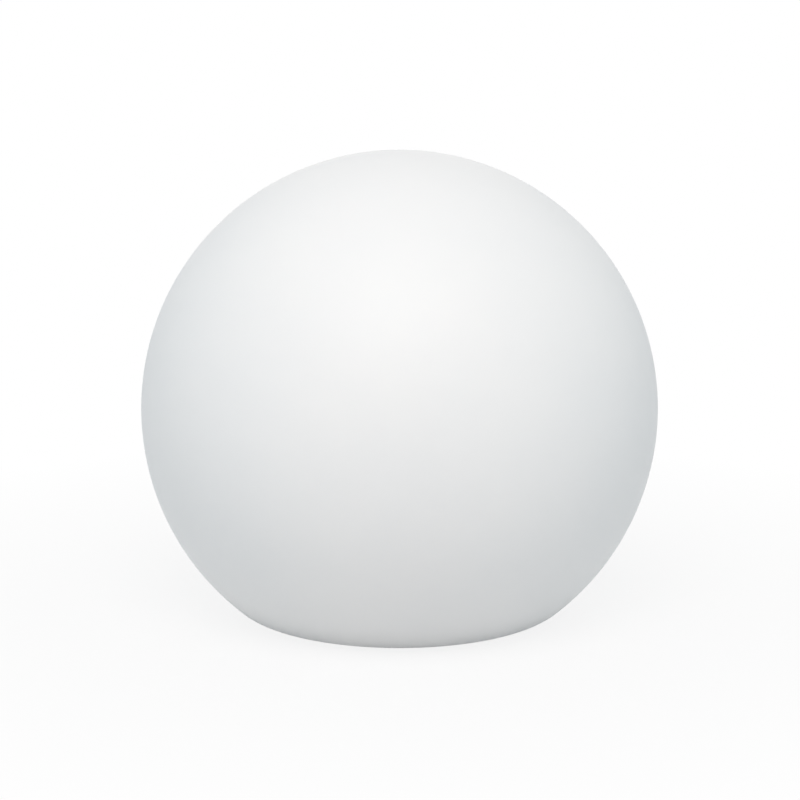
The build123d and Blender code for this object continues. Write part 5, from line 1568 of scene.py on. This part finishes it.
@dataclass
class Studio:
    """A plain pale floor, soft light and the photograph's viewpoint."""

    globe_centre: float = 120 * MM
    lens: float = 117.0
    sensor: float = 36.0
    camera_elevation: float = 12.0
    camera_distance: float = 1.517
    image_width: float = 800.0
    centre_off_right: float = -0.44
    centre_off_down: float = 8.1
    ambient: float = 0.486
    ambient_colour: Colour = (0.96, 0.995, 1.03)
    white: tuple[float, float, float, float] = (1.0, 1.0, 1.0, 1.0)
    floor_radius: float = 4.0
    floor_segments: int = 96
    floor_colour: Colour = (0.80, 0.80, 0.80)
    floor_shade: Colour = (0.78, 0.78, 0.78)
    floor_tone: Noise = Noise(60 * MM, 3.0)
    near_white: float = 0.86
    fade_start: float = 0.15
    fade_end: float = 0.45
    bounce: float = 0.45
    bounce_radius: float = 0.064
    lamps: tuple[Lamp, ...] = (
        Lamp("key light", -3.0, 53.0, 2.0, 1.1, 20.6, (1.0, 0.95, 0.915), True),
        Lamp("left fill", -78.0, 12.0, 2.2, 1.4, 2.8, (0.45, 0.84, 1.0)),
        Lamp("right fill", 78.0, 12.0, 2.2, 1.4, 2.6, (0.50, 0.88, 1.0)),
        Lamp("back fill", 180.0, 14.0, 2.2, 1.0, 6.0, (1.0, 0.98, 0.96)),
    )

    def build(self) -> None:
        """Makes the camera, lights, background and floor."""
        target = Vector((0.0, 0.0, self.globe_centre))
        self.build_camera(target)
        for lamp in self.lamps:
            lamp.build(target)
        self.build_background()
        self.build_floor()
        bpy.context.scene.view_settings.view_transform = "Standard"

    def build_camera(self, target: Vector) -> None:
        """Makes the camera, shifted as the photograph is framed.

        Args:
            target: the globe's centre.
        """
        data = bpy.data.cameras.new("camera")
        data.lens, data.sensor_width = self.lens, self.sensor
        data.shift_x = -self.centre_off_right / self.image_width
        data.shift_y = self.centre_off_down / self.image_width
        camera = place("camera", data)
        look_from(camera, target, 0.0, self.camera_elevation, self.camera_distance)
        bpy.context.scene.camera = camera

    def seen_directly(self, canvas: Canvas) -> Expr:
        """Gives 1 for rays from the camera, a reflection or clear plastic, and 0 for others.

        Args:
            canvas: the tree that asks.

        Returns:
            The 1 or 0.
        """
        rays = canvas.node("ShaderNodeLightPath")
        seen = rays.out("Is Camera Ray") + rays.out("Is Glossy Ray") + rays.out("Is Transmission Ray")
        return seen.clamped()

    def build_background(self) -> None:
        """Makes the background: white to look at, dimmer as a light."""
        world = bpy.data.worlds.new("background")
        world.use_nodes = True
        canvas = Canvas(world.node_tree)
        canvas.tree.nodes.clear()
        seen = self.seen_directly(canvas)
        parts = [self.ambient * part + (1.0 - self.ambient * part) * seen for part in self.ambient_colour]
        colour = canvas.node("ShaderNodeCombineColor", None, dict(enumerate(parts)))
        shader = canvas.node("ShaderNodeBackground", None, {"Color": colour, "Strength": 1.0})
        canvas.node("ShaderNodeOutputWorld", None, {"Surface": shader})
        bpy.context.scene.world = world

    def build_floor(self) -> None:
        """Makes the floor, a wide disc."""
        mesh = bpy.data.meshes.new("floor")
        segments, radius = self.floor_segments, self.floor_radius
        with opened(mesh) as work:
            bmesh.ops.create_circle(work, cap_ends=True, segments=segments, radius=radius)
        mesh.materials.append(self.floor_material())
        place("floor", mesh)

    def floor_material(self) -> Material:
        """Makes the floor's finish: pale and matt, clear from below, and white in the distance.

        Under the base it gives back some light, so that the dish's inside can be seen from below.

        Returns:
            The material.
        """
        surface = Surface("floor")
        x, y, _ = surface.parts(surface.place)
        radius = (x * x + y * y).root()
        fade = ((radius - self.fade_start) / (self.fade_end - self.fade_start)).clamped()
        seen = self.seen_directly(surface)
        white_share = seen * (self.near_white + (1.0 - self.near_white) * fade)
        bounce = (1.0 - seen) * radius.below(self.bounce_radius) * self.bounce
        tone = surface.tint(surface.noise(self.floor_tone), self.floor_colour, self.floor_shade)
        pale = surface.node("ShaderNodeBsdfDiffuse", None, {"Color": tone})
        white = surface.node("ShaderNodeEmission", None, {"Color": self.white, "Strength": 1.0})
        top = surface.node("ShaderNodeMixShader", None, {0: white_share, 1: pale, 2: white})
        glow = surface.node("ShaderNodeEmission", None, {"Color": self.white, "Strength": bounce})
        lit = surface.node("ShaderNodeAddShader", None, {0: top, 1: glow})
        below = surface.node("ShaderNodeNewGeometry").out("Backfacing")
        clear = surface.node("ShaderNodeBsdfTransparent")
        return surface.close(surface.node("ShaderNodeMixShader", None, {0: below, 1: lit, 2: clear}))


def main() -> None:
    """Builds the studio and the sub-assemblies, in order."""
    shop = Workshop()
    Studio().build()
    for assembly in (Globe, Neck, LampHousing, BaseCover, Controls, Electronics, Battery, LightEngine):
        LOG.info("building %s", assembly.__name__)
        assembly(shop).build()
    dress_cad_nodes()


if __name__ == "__main__":
    main()
